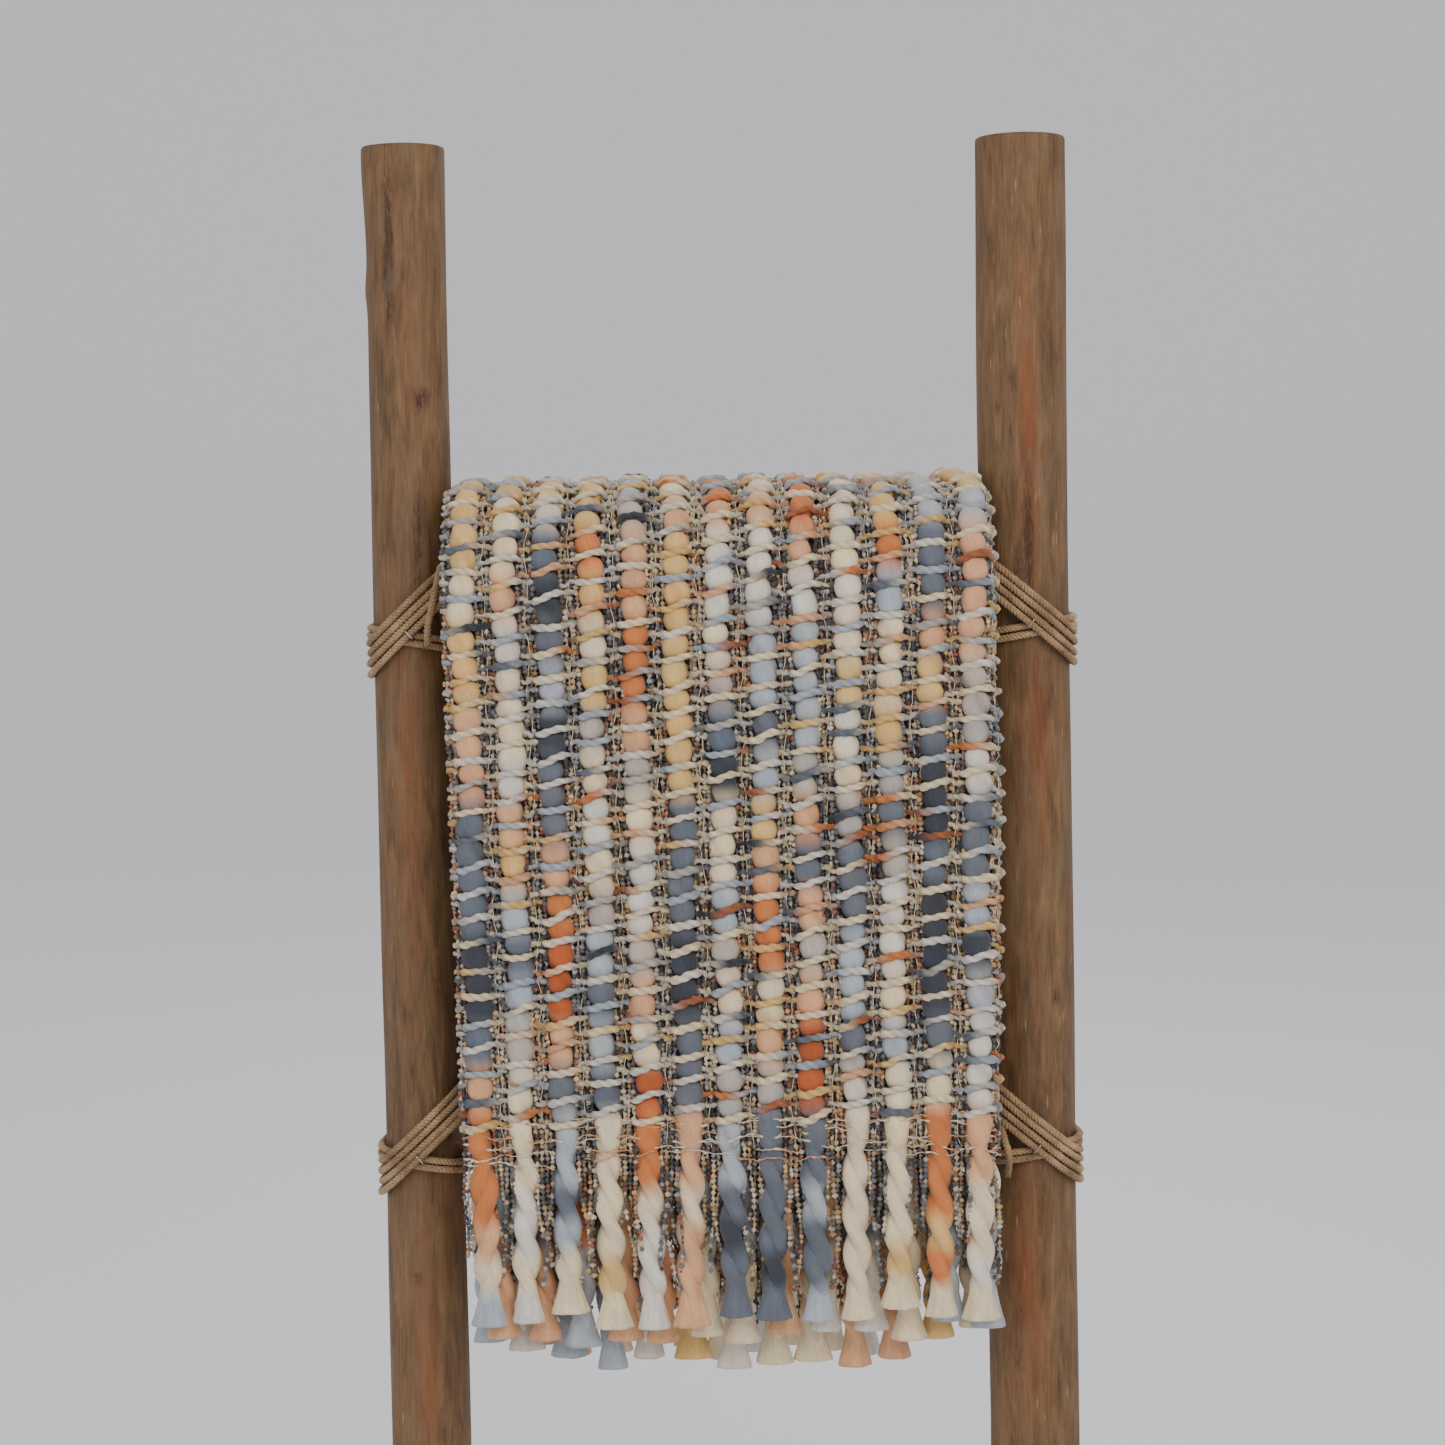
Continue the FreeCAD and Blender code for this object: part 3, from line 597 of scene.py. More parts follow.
def weaveThrow():
    crest = -40.0
    for name, low, high in (("front", crest, frontLength + 5), ("back", -backLength - 5, crest)):
        bundle = Bundle()
        for column in range(frontColumns):
            addRoving(bundle, column, low, high, *((1.6, 16) if name == "front" else (3.2, 12)))
        keep(bundle, "throw_rovings_" + name, rovingWool)
    bundle = Bundle()
    for column in range(frontColumns, allColumns):
        addRoving(bundle, column, -backLength - 5, frontLength + 5, 5.6, 8)
    keep(bundle, "throw_rovings_inner", rovingWool)
    rows = np.arange(rowCount)
    for number, part in enumerate(np.array_split(rows, 4)):
        bundle = Bundle()
        for row in part:
            addWeft(bundle, int(row), 0, frontColumns, 17.5, 30, row < rowCount * 0.55)
        keep(bundle, "throw_wefts_%d" % (number + 1), plyYarn)
    bundle = Bundle()
    leftTurn = int((outerEdge + math.pi * throwShape["turnRadius"] + throwShape["middleLayer"]) / columnPitch)
    for row in rows:
        addWeft(bundle, int(row), leftTurn - 1, leftTurn + 1, 16.6, 17, False)
    keep(bundle, "throw_wefts_left_fold", plyYarn)
    foldGaps = [leftTurn - 2, leftTurn - 1, leftTurn]
    for name, gaps, low, high, fine in (("left", range(-1, 7), crest, frontLength, 1),
                                        ("right", range(7, 14), crest, frontLength, 1),
                                        ("back", range(-1, 14), -backLength, crest, 0),
                                        ("fold", foldGaps, -backLength, frontLength, 0)):
        bundle = Bundle()
        for gap in gaps:
            for number in range(4):
                if gap == -1 and number < 2:
                    continue
                addWarp(bundle, gap, number, low, high, fine)
        keep(bundle, "throw_warps_" + name, boucleYarn)
    bundle = Bundle()
    for gap in range(0, 13):
        addBinding(bundle, gap, -backLength, frontLength)
    for number in range(6):
        ahead = frontLength - hemBand + 6.0 * number - 1
        behind = -backLength + hemBand - 6.0 * number + 1
        for place in (ahead, behind):
            addHemRow(bundle, place, number, 3, throwWidth - 3)
    keep(bundle, "throw_binding_threads", boucleYarn)


weaveThrow()


# ---- fringe: each column ends in two strands twisted together, cut square and brushed open

tassel = dict(length=130.0, spread=4.1, strand=7.0, lay=64.0, bell=32.0, bellRadius=14.2, seed=210)
tasselDyes = ["opc", "wwc", "lbc", "ccs", "cww", "cpp", "lnl", "lln", "bll", "ccc", "ccs", "oso", "ccw"]
bellDyes = ["b", "w", "c", "c", "w", "p", "l", "l", "b", "c", "c", "c", "c"]


def addTassel(bundle, column, end, fine):
    rng = np.random.default_rng(tassel["seed"] + column * 2 + (end < 0))
    front = end > 0
    length = tassel["length"] + rng.uniform(-7, 7)
    base = frontLength if front else backLength
    if front and column < frontColumns:
        letters = columnDyes[column][-1] + tasselDyes[column] + bellDyes[column] * 3
    else:
        main = chance(rng, "cwspblno", [20, 14, 10, 12, 12, 10, 3, 6], 1)
        letters = main + main + chance(rng, "cwspb", [4, 3, 2, 2, 2], 1) * 3
    step = 2.0 if fine else 4.0
    sides = 14 if fine else 9
    swayW = rng.uniform(-3.5, 3.5)
    swayH = rng.uniform(-2, 2)
    phase = rng.uniform(0, 2 * math.pi)
    toward = 1 if rng.random() < 0.12 else -1

    def axis(run, w, h):
        bend = smooth(run, 0, length)
        along = (base + run) * (1 if front else -1)
        return clothPoint(columnPlaces[column] + w + swayW * bend, along, h + swayH * bend - 1)

    run = np.arange(-12, length - tassel["bell"] * 0.35, step)
    for strand in (0, 1):
        turn = phase + math.pi * strand + toward * 2 * math.pi * run / tassel["lay"]
        apart = tassel["spread"] * smooth(run, -12, 10) * (1 - 0.45 * smooth(run, length - 38, length - 12))
        centre = axis(run, apart * np.cos(turn), apart * np.sin(turn))
        size = tassel["strand"] * (0.86 + 0.14 * smooth(run, 0, 18)) * (1 + 0.08 * np.cos(2 * turn))
        size = size * (1 - 0.2 * smooth(run, length - 42, length - 22))
        size = size * (1 + 0.05 * np.sin(run / 9 + phase + strand))
        size = size[:, None] * (1 + 0.04 * np.cos(4 * around(sides)[None] + run[:, None] / 6 + strand))
        colour = dyedAlong(letters, np.clip(run, 0, None), length / 5)
        bundle.addTube(centre, np.broadcast_to(frontward, centre.shape), size, size, colour, sides, twist=0.06,
                       domed=3.0)
    bellRun = np.linspace(length - tassel["bell"], length, 15 if fine else 8)
    t = (bellRun - bellRun[0]) / tassel["bell"]
    bellSides = 40 if fine else 18
    flare = tassel["bellRadius"] * rng.uniform(0.88, 1.12)
    radius = 6.8 + (flare - 6.8) * t ** 1.35
    radius[-1] *= 0.96
    tufts = rng.uniform(-1, 1, bellSides)
    tufts = (tufts + np.roll(tufts, 1)) / 2
    edge = 1 + 0.13 * tufts[None] * (0.25 + 0.75 * t[:, None])
    flat = rng.uniform(0.66, 0.85)
    colour = dyedAlong(letters, bellRun, length / 5)
    centre = axis(bellRun, 0.0, 0.0)
    shade = 1 + 0.06 * rng.uniform(-1, 1, (1, bellSides, 1)) * np.ones((len(bellRun), 1, 1))
    edge = radius[:, None] * edge
    bundle.addTube(centre, np.broadcast_to(frontward, centre.shape), edge, edge * flat, colour[:, None] * shade,
                   bellSides, domed=1.6)


def addFringeWarp(bundle, gap, number, front):
    rng = np.random.default_rng(7000 + gap * 10 + number + (0 if front else 500))
    length = rng.uniform(58, 112)
    fine = int(front and gap < 14)
    l, radius = knobTrack(rng, -6, length, gapYarns["sparse"][fine])
    radius = radius * rng.uniform(0.95, 1.25)
    w = gapPlace(gap, gapYarns["places"][number]) + 3.2 * np.sin(l / 21 + rng.uniform(0, 6)) * smooth(l, 0, 60)
    w = w + rng.uniform(-7, 7) * smooth(l, 0, 110)
    h = rng.uniform(-5, 6) + 3 * np.sin(l / 26 + rng.uniform(0, 6)) * smooth(l, 0, 50)
    w = w + rng.uniform(-0.7, 0.7, len(l))
    colour = beadColours(rng, gap + 100 * number, l)
    place = (frontLength + l) if front else -(backLength + l)
    centre = clothPoint(w, place, h)
    bundle.addTube(centre, np.broadcast_to(frontward, centre.shape), radius * 0.95, radius * 0.95, colour,
                   gapYarns["sides"][fine], domed=0.8)


def fringeThrow():
    for name, end in (("front", 1), ("back", -1)):
        bundle = Bundle()
        for column in range(frontColumns):
            addTassel(bundle, column, end, end > 0)
        keep(bundle, "throw_tassels_" + name, rovingWool)
        bundle = Bundle()
        for column in range(frontColumns, allColumns):
            addTassel(bundle, column, end, False)
        keep(bundle, "throw_tassels_inner_" + name, rovingWool)
        bundle = Bundle()
        for gap in range(-1, allColumns - 1):
            for number in range(4):
                if gap == -1 and number < 2:
                    continue
                addFringeWarp(bundle, gap, number, end > 0)
        keep(bundle, "throw_loose_warps_" + name, boucleYarn)


fringeThrow()


# ---- the ground of the weave: a closed cloth behind the thick yarns

ground = dict(height=-3.2, thick=1.2, step=10.4, thread=2.4)


def groundTree(tree):
    # Plain-woven cotton ground, deep in shade. To the eye: small flecks of navy, brown and cream thread.
    place = addNode(tree, "ShaderNodeAttribute", attribute_name="clothPlace").outputs["Vector"]
    flecks = addNode(tree, "ShaderNodeMapping",
                     {"Vector": place, "Scale": (1 / ground["thread"], 1 / (2 * ground["thread"]), 1)})
    cells = addNode(tree, "ShaderNodeTexVoronoi", {"Vector": flecks, "Scale": 1.0})
    grey = addNode(tree, "ShaderNodeSeparateColor", {"Color": cells.outputs["Color"]})
    colour = addNode(tree, "ShaderNodeValToRGB", {"Fac": grey},
                     stops=[(0.0, "#33343e"), (0.35, "#55484a"), (0.6, "#686c79"), (0.8, "#957a63"),
                            (0.95, "#b9b0a2")])
    bump = addNode(tree, "ShaderNodeBump", {"Height": cells, "Strength": 0.8, "Distance": 0.0008}, invert=True)
    return addNode(tree, "ShaderNodeBsdfPrincipled",
                   {"Base Color": colour, "Roughness": 0.95, "Specular IOR Level": 0.15, "Normal": bump})


def makeGround():
    across = np.linspace(4, throwWidth - 4, int(throwWidth / ground["step"]))
    along = np.linspace(-backLength + 1, frontLength - 1, int((frontLength + backLength) / ground["step"]))
    w, l = np.meshgrid(across, along)
    front = clothPoint(w, l, ground["height"]).reshape(-1, 3)
    back = clothPoint(w, l, ground["height"] - ground["thick"]).reshape(-1, 3)
    index = np.arange(w.size).reshape(w.shape)
    face = np.stack([index[:-1, :-1], index[:-1, 1:], index[1:, 1:], index[1:, :-1]], -1).reshape(-1, 4)
    rim = np.concatenate([index[0, :-1], index[:-1, -1], index[-1, :0:-1], index[:0:-1, 0]])
    after = np.roll(rim, -1)
    edge = np.stack([rim, rim + w.size, after + w.size, after], -1)
    quads = np.concatenate([face[:, ::-1], face + w.size, edge[:, ::-1]])
    place = np.tile(np.stack([w.ravel(), l.ravel(), np.zeros(w.size)], -1), (2, 1))
    return makePiece("throw_ground", np.concatenate([front, back]), quads, [],
                     [makeMaterial("plain-woven ground", groundTree)], {"clothPlace": place})


throwGround = makeGround()
print("throw woven")


# ---- poles and rungs: stripped, weathered branches

# each noise's scale across and along the grain, and its settings
woodNoises = dict(
    fine=(0.55, 0.04, {"Detail": 6.0, "Roughness": 0.62, "Distortion": 0.25}),
    broad=(0.085, 0.016, {"Detail": 5.0, "Roughness": 0.6, "Distortion": 0.6}),
    streak=(0.28, 0.006, {"Detail": 3.0}),
    grime=(0.5, 0.11, {"Detail": 5.0, "Roughness": 0.75, "Distortion": 0.5}),
    grey=(0.045, 0.013, {"Detail": 6.0, "Roughness": 0.7, "Distortion": 0.8}),
    speck=(0.35, 0.07, {"Detail": 4.0, "Roughness": 0.7}))


def woodTree(tree, dark, middle, light, warm):
    # Debarked branch wood, dried outdoors.
    # To the eye: matt, brown, with grain along the pole and a few dark streaks.
    place, stain, glow = [addNode(tree, "ShaderNodeAttribute", attribute_name=name).outputs[output]
                          for name, output in (("grainPlace", "Vector"), ("stain", "Fac"), ("glow", "Fac"))]
    noises = {}
    for name, (across, along, settings) in woodNoises.items():
        drawn = addNode(tree, "ShaderNodeMapping", {"Vector": place, "Scale": (across, across, along)})
        noises[name] = addNode(tree, "ShaderNodeTexNoise", {"Vector": drawn, "Scale": 1.0, **settings})
    mixed = addNode(tree, "ShaderNodeMix", {0: 0.62, 2: noises["fine"], 3: noises["broad"]}, data_type="FLOAT")
    colour = addNode(tree, "ShaderNodeValToRGB", {"Fac": mixed}, stops=[(0.3, dark), (0.5, middle), (0.7, light)])
    # grime breaks up the edges of the stains
    grimeEdge = addNode(tree, "ShaderNodeMapRange",
                        {"Value": noises["grime"], **dict(zip(rangeSockets, (0.3, 0.65, 0.1, 1.2)))})
    stained = addNode(tree, "ShaderNodeMath", {0: stain, 1: grimeEdge}, operation="MULTIPLY")
    # warm streaks, warm patches, stains, weathered grey and pale specks, each laid over the last
    for amount, levels, code in ((noises["streak"], (0.5, 0.68, 0.0, 0.34), warm), (glow, None, "#8a4a24"),
                                 (stained, (0.15, 0.75, 0.0, 0.85), "#3d2516"),
                                 (noises["grey"], (0.5, 0.64, 0.0, 0.42), "#75654f"),
                                 (noises["speck"], (0.7, 0.78, 0.0, 0.5), "#b7a288")):
        if levels:
            amount = addNode(tree, "ShaderNodeMapRange", {"Value": amount, **dict(zip(rangeSockets, levels))})
        laid = addNode(tree, "ShaderNodeMix", {0: amount, 6: colour, 7: opaque(code)}, data_type="RGBA")
        colour = laid.outputs[2]
    # a few short nicks, some dark and some pale
    drawn = addNode(tree, "ShaderNodeMapping", {"Vector": place, "Scale": (0.36, 0.36, 0.045)})
    marks = addNode(tree, "ShaderNodeTexVoronoi", {"Vector": drawn, "Scale": 1.0}, feature="F1")
    which = addNode(tree, "ShaderNodeSeparateColor", {"Color": marks.outputs["Color"]})
    rare = addNode(tree, "ShaderNodeMath", {0: which, 1: 0.9}, operation="GREATER_THAN")
    near = addNode(tree, "ShaderNodeMapRange", {"Value": marks, **dict(zip(rangeSockets, (0.08, 0.3, 0.6, 0.0)))})
    nicks = addNode(tree, "ShaderNodeMath", {0: rare, 1: near}, operation="MULTIPLY")
    nickTone = addNode(tree, "ShaderNodeMix",
                       {0: which.outputs["Green"], 6: opaque("#4a2d19"), 7: opaque("#b49c80")}, data_type="RGBA")
    final = addNode(tree, "ShaderNodeMix", {0: nicks, 6: colour, 7: nickTone.outputs[2]}, data_type="RGBA")
    heights = addNode(tree, "ShaderNodeMath", {0: noises["fine"], 1: stain}, operation="SUBTRACT")
    bump = addNode(tree, "ShaderNodeBump", {"Height": heights, "Strength": 0.45, "Distance": 0.0008})
    rough = addNode(tree, "ShaderNodeMapRange", {"Value": noises["broad"], "To Min": 0.5, "To Max": 0.75})
    return addNode(tree, "ShaderNodeBsdfPrincipled",
                   {"Base Color": final.outputs[2], "Roughness": rough, "IOR": 1.5, "Specular IOR Level": 0.35,
                    "Normal": bump})


def endGrainTree(tree):
    # Sawn end grain. To the eye: paler than the side, matt, with faint growth rings.
    place = addNode(tree, "ShaderNodeAttribute", attribute_name="grainPlace").outputs["Vector"]
    flat = addNode(tree, "ShaderNodeMapping", {"Vector": place, "Scale": (1.0, 1.0, 0.0)})
    rings = addNode(tree, "ShaderNodeTexWave", {"Vector": flat, "Scale": 0.11, "Distortion": 2.2, "Detail": 3.0,
                                                "Detail Scale": 0.25},
                    wave_type="RINGS", rings_direction="Z").outputs["Fac"]
    colour = addNode(tree, "ShaderNodeValToRGB", {"Fac": rings},
                     stops=[(0.0, "#7a5c40"), (0.6, "#a3835c"), (1.0, "#b4956d")])
    bump = addNode(tree, "ShaderNodeBump", {"Height": rings, "Strength": 0.3, "Distance": 0.0004})
    return addNode(tree, "ShaderNodeBsdfPrincipled",
                   {"Base Color": colour, "Roughness": 0.8, "Specular IOR Level": 0.3, "Normal": bump})


poleWood = makeMaterial("debarked branch wood, poles", woodTree, "#3f2e1f", "#6f5438", "#8e6f50", "#784b2a")
rungWood = makeMaterial("debarked branch wood, rungs", woodTree, "#4b382b", "#705642", "#8c7055", "#744a31")
endGrain = makeMaterial("sawn end grain", endGrainTree)


def branchNoise(angle, run, seed, terms, modes, spans, size):
    # a few slow waves round and along the branch
    rng = np.random.default_rng(seed)
    total = np.zeros(np.broadcast(angle, run).shape)
    for _ in range(terms):
        mode = int(rng.integers(modes[0], modes[1] + 1))
        span = rng.uniform(*spans)
        total += rng.uniform(0.4, 1) * np.cos(mode * angle + rng.uniform(0, 7) + run * 2 * math.pi / span)
    return total * size / math.sqrt(terms)


def patch(angle, run, atAngle, atRun, wideAngle, wideRun):
    # one soft spot on the branch, 1 at its middle, with its angles in degrees
    away = (angle - math.radians(atAngle) + math.pi) % (2 * math.pi) - math.pi
    return np.exp(-(away / math.radians(wideAngle)) ** 2 - ((run - atRun) / wideRun) ** 2)


# what each kind of mark adds to the radius, the stain and the glow
markKinds = dict(bump=(1, 0, 0), stain=(0, 1, 0), glow=(0, 0, 1), knot=(1.1, 0.5, 0), crack=(-2.6, 1.5, 0))
knotCore = dict(size=0.45, length=0.4, depth=1.3, stain=0.9)
endRings = np.array([0, 0.5, 1.2, 2.5])
capRings = 6
rimRun = 1.6


def branch(name, material, placer, length, radius, measure, seed, marks):
    # angle 0 faces the front and grows towards +x; placer turns (side, out, run) into the model's place
    sides = measure["sides"]
    angle = around(sides)[None]
    between = np.linspace(5, length - 5, measure["rings"])
    run = np.concatenate([endRings, between, length - endRings[::-1]])[:, None]
    rings = len(run)
    size = radius + branchNoise(angle, run, seed, 7, (1, 4), (180, 900), 0.55)
    size = size + branchNoise(angle, run, seed + 1, 12, (6, 19), (300, 1500), 0.16)
    bend = branchNoise(0 * run, run, seed + 2, 4, (1, 1), (500, 1600), 1.3)
    bendOut = branchNoise(0 * run, run, seed + 3, 4, (1, 1), (500, 1600), 0.9)
    stain = np.zeros(size.shape)
    glow = np.zeros(size.shape)
    for kind, atAngle, atRun, wideAngle, wideRun, amount in marks:
        spot = patch(angle, run, atAngle, atRun, wideAngle, wideRun) * amount
        lift, dark, warm = markKinds[kind]
        size = size + lift * spot
        stain = stain + dark * spot
        glow = glow + warm * spot
        if kind == "knot":
            core = patch(angle, run, atAngle, atRun, wideAngle * knotCore["size"], wideRun * knotCore["length"])
            size = size - knotCore["depth"] * core * amount
            stain = stain + knotCore["stain"] * core * amount
    # the rims are worn round, and the top edge is darker
    size = size - 0.9 * (1 - smooth(run, 0, rimRun) * smooth(length - run, 0, rimRun))
    stain = stain + 0.35 * (1 - smooth(length - run, 0, 6))
    side = size * np.sin(angle)
    out = size * np.cos(angle)
    runs = np.broadcast_to(run, size.shape)
    points = [placer(side + bend, out + bendOut, runs).reshape(-1, 3)]
    grains = [(np.stack([side, out, runs], -1) + seed * 13.0).reshape(-1, 3)]
    quads = [gridFaces(rings, sides)]
    fans = []
    count = rings * sides
    # each end is closed by rings that shrink to its middle
    for at, turned in ((0, -1), (rings - 1, 1)):
        previous = at * sides + np.arange(sides)
        for step in range(1, capRings):
            share = 1 - step / capRings
            capSide, capOut, capRun = side[at] * share, out[at] * share, np.full(sides, run[at])
            points.append(placer(capSide + bend[at], capOut + bendOut[at], capRun))
            grains.append(np.stack([capSide, capOut, capRun], -1))
            current = count + np.arange(sides)
            count += sides
            ring = np.stack([previous, np.roll(previous, -1), np.roll(current, -1), current], -1)
            quads.append(ring[:, ::turned])
            previous = current
        points.append(placer(bend[at], bendOut[at], run[at]))
        grains.append([[0, 0, run[at, 0]]])
        fans.append(np.stack([previous, np.roll(previous, -1), np.full(sides, count)], -1)[:, ::turned])
        count += 1
    stain, glow = [np.concatenate([field.ravel(), np.zeros(count - field.size)]) for field in (stain, glow)]
    walls = len(quads[0])
    quads, fans = np.concatenate(quads), np.concatenate(fans)
    print("made", name)
    return makePiece(name, np.concatenate(points), quads, fans, [material, endGrain],
                     {"grainPlace": np.concatenate(grains), "stain": stain, "glow": glow},
                     np.arange(len(quads) + len(fans)) >= walls)


# kind, angle and height along the pole, half width and half height, strength
poleMarks = {
    "left": [("bump", -70, 1790, 50, 50, 3.4), ("bump", -95, 1688, 30, 14, 1.8), ("knot", 24, 1600, 20, 16, 1.0),
             ("stain", -20, 1745, 7, 60, 0.9), ("stain", -22, 1690, 9, 45, 1.0), ("stain", 2, 1700, 5, 12, 0.8),
             ("stain", 14, 1485, 8, 55, 1.0), ("stain", -8, 1450, 6, 70, 0.7), ("stain", 30, 1180, 9, 90, 0.6),
             ("stain", -35, 980, 8, 120, 0.5), ("knot", -10, 905, 12, 10, 0.8), ("glow", 8, 1640, 16, 60, 0.15),
             ("glow", -5, 1300, 20, 110, 0.4), ("knot", 160, 1240, 14, 12, 0.9), ("stain", 190, 900, 12, 160, 0.7),
             ("glow", 0, 850, 14, 90, 0.5), ("stain", 35, 560, 9, 130, 0.7), ("knot", 60, 420, 15, 13, 0.9),
             ("stain", -50, 300, 10, 100, 0.7), ("bump", 80, 640, 40, 30, 1.4)],
    "right": [("glow", -2, 1640, 7, 60, 0.5), ("glow", 4, 1540, 9, 70, 0.75), ("crack", 2, 1472, 2.6, 34, 1.0),
              ("stain", 2, 1500, 8, 75, 0.8), ("stain", 22, 1700, 7, 50, 0.5), ("knot", -38, 1585, 9, 8, 0.7),
              ("stain", -12, 1440, 9, 60, 0.7), ("glow", 10, 1330, 14, 100, 0.45), ("knot", 28, 1120, 11, 9, 0.8),
              ("stain", 5, 1010, 8, 110, 0.6), ("glow", -12, 880, 16, 90, 0.55), ("stain", -25, 850, 9, 70, 0.6),
              ("knot", 170, 1350, 14, 12, 0.9), ("stain", 150, 1000, 12, 170, 0.7), ("knot", 40, 560, 14, 12, 0.9),
              ("stain", -45, 400, 9, 110, 0.7), ("bump", -80, 720, 40, 30, 1.3), ("bump", 80, 1720, 40, 60, 0.8)],
}
poleMeasure = dict(sides=64, rings=380, seeds=dict(left=3, right=8))
poleRadius = {}
poleAcross = {}
for side in ("left", "right"):
    low, high = nodeSpan("upright_" + side)
    poleRadius[side] = (high[0] - low[0]) / 2
    poleAcross[side] = (high[0] + low[0]) / 2
# the topmost packed point is the front rim of the square top cut
topHeight = max(nodeSpan("upright_left")[1][2], nodeSpan("upright_right")[1][2])
poleLength = (topHeight - poleRadius["right"] * math.sin(lean)) / math.cos(lean)
print("pole length %.0f mm, poles at %.0f and %.0f" % (poleLength, poleAcross["left"], poleAcross["right"]))


def makePole(side):
    def placer(across, out, run):
        # the top cut is square to the pole and the foot is cut level with the floor
        footCut = -out * math.tan(lean)
        along = footCut + (poleLength - footCut) * run / poleLength
        return onLadder(poleAcross[side] + across, along, out)

    return branch("pole_" + side, poleWood, placer, poleLength, poleRadius[side], poleMeasure,
                  poleMeasure["seeds"][side], poleMarks[side])


for side in ("left", "right"):
    pole = makePole(side)
    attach(pole, "ladder")
    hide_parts("upright_" + side)

rungMeasure = dict(sides=56, rings=110, bury=9.0, under=0.6)


def makeRung(number):
    low = poleAcross["left"] + poleRadius["left"] - rungMeasure["bury"]
    high = poleAcross["right"] - poleRadius["right"] + rungMeasure["bury"]
    rng = np.random.default_rng(40 + number)
    marks = [("stain", rng.uniform(-180, 180), rng.uniform(40, 380), 10, rng.uniform(30, 80), 0.8)
             for _ in range(5)]
    marks += [("knot", rng.uniform(-180, 180), rng.uniform(60, 360), 15, 12, 0.9) for _ in range(2)]
    marks += [("glow", rng.uniform(-180, 180), rng.uniform(60, 360), 22, 60, 0.5) for _ in range(3)]

    def placer(across, out, run):
        # across becomes up the ladder, and the run goes along x the other way, which keeps the faces outwards
        return onLadder(high - run, rungAlong[number - 1] + across, out)

    return branch("rung_%d_wood" % number, rungWood, placer, high - low, rungRadius(number) - rungMeasure["under"],
                  rungMeasure, 20 + 4 * number, marks)


for number in (1, 2, 3, 4):
    rung = makeRung(number)
    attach(rung, "ladder")
    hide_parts("rung_%d" % number)


# ---- jute lashings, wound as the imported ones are, drawn as twisted twine by Geometry Nodes

twine = dict(strandGap=0.3, strandRadius=3.0, underTurns=2, overTurns=4, underDrop=1.2, plies=3, plyRadius=1.42,
             plyOffset=1.62, lay=9.5, step=(2.3, 1.4), sides=5, hairs=0.5, hairLength=4.2, hairRadius=0.08, seed=5)


def juteTree(tree):
    # Three-ply jute twine. To the eye: dry tan, no gloss, fine lines along each ply and loose hairs.
    place = addNode(tree, "ShaderNodeTexCoord").outputs["Object"]
    grit = addNode(tree, "ShaderNodeTexNoise", {"Vector": place, "Scale": 900.0, "Detail": 3.0})
    broad = addNode(tree, "ShaderNodeTexNoise", {"Vector": place, "Scale": 45.0, "Detail": 2.0})
    mixed = addNode(tree, "ShaderNodeMix", {0: 0.5, 2: grit, 3: broad}, data_type="FLOAT")
    colour = addNode(tree, "ShaderNodeValToRGB", {"Fac": mixed},
                     stops=[(0.32, "#6f553a"), (0.5, "#a08260"), (0.66, "#c9ab84")])
    bump = addNode(tree, "ShaderNodeBump", {"Height": grit, "Strength": 0.6, "Distance": 0.0003})
    return addNode(tree, "ShaderNodeBsdfPrincipled",
                   {"Base Color": colour, "Roughness": 0.9, "Sheen Weight": 0.2, "Specular IOR Level": 0.2,
                    "Normal": bump})


juteTwine = makeMaterial("three-ply jute twine", juteTree)


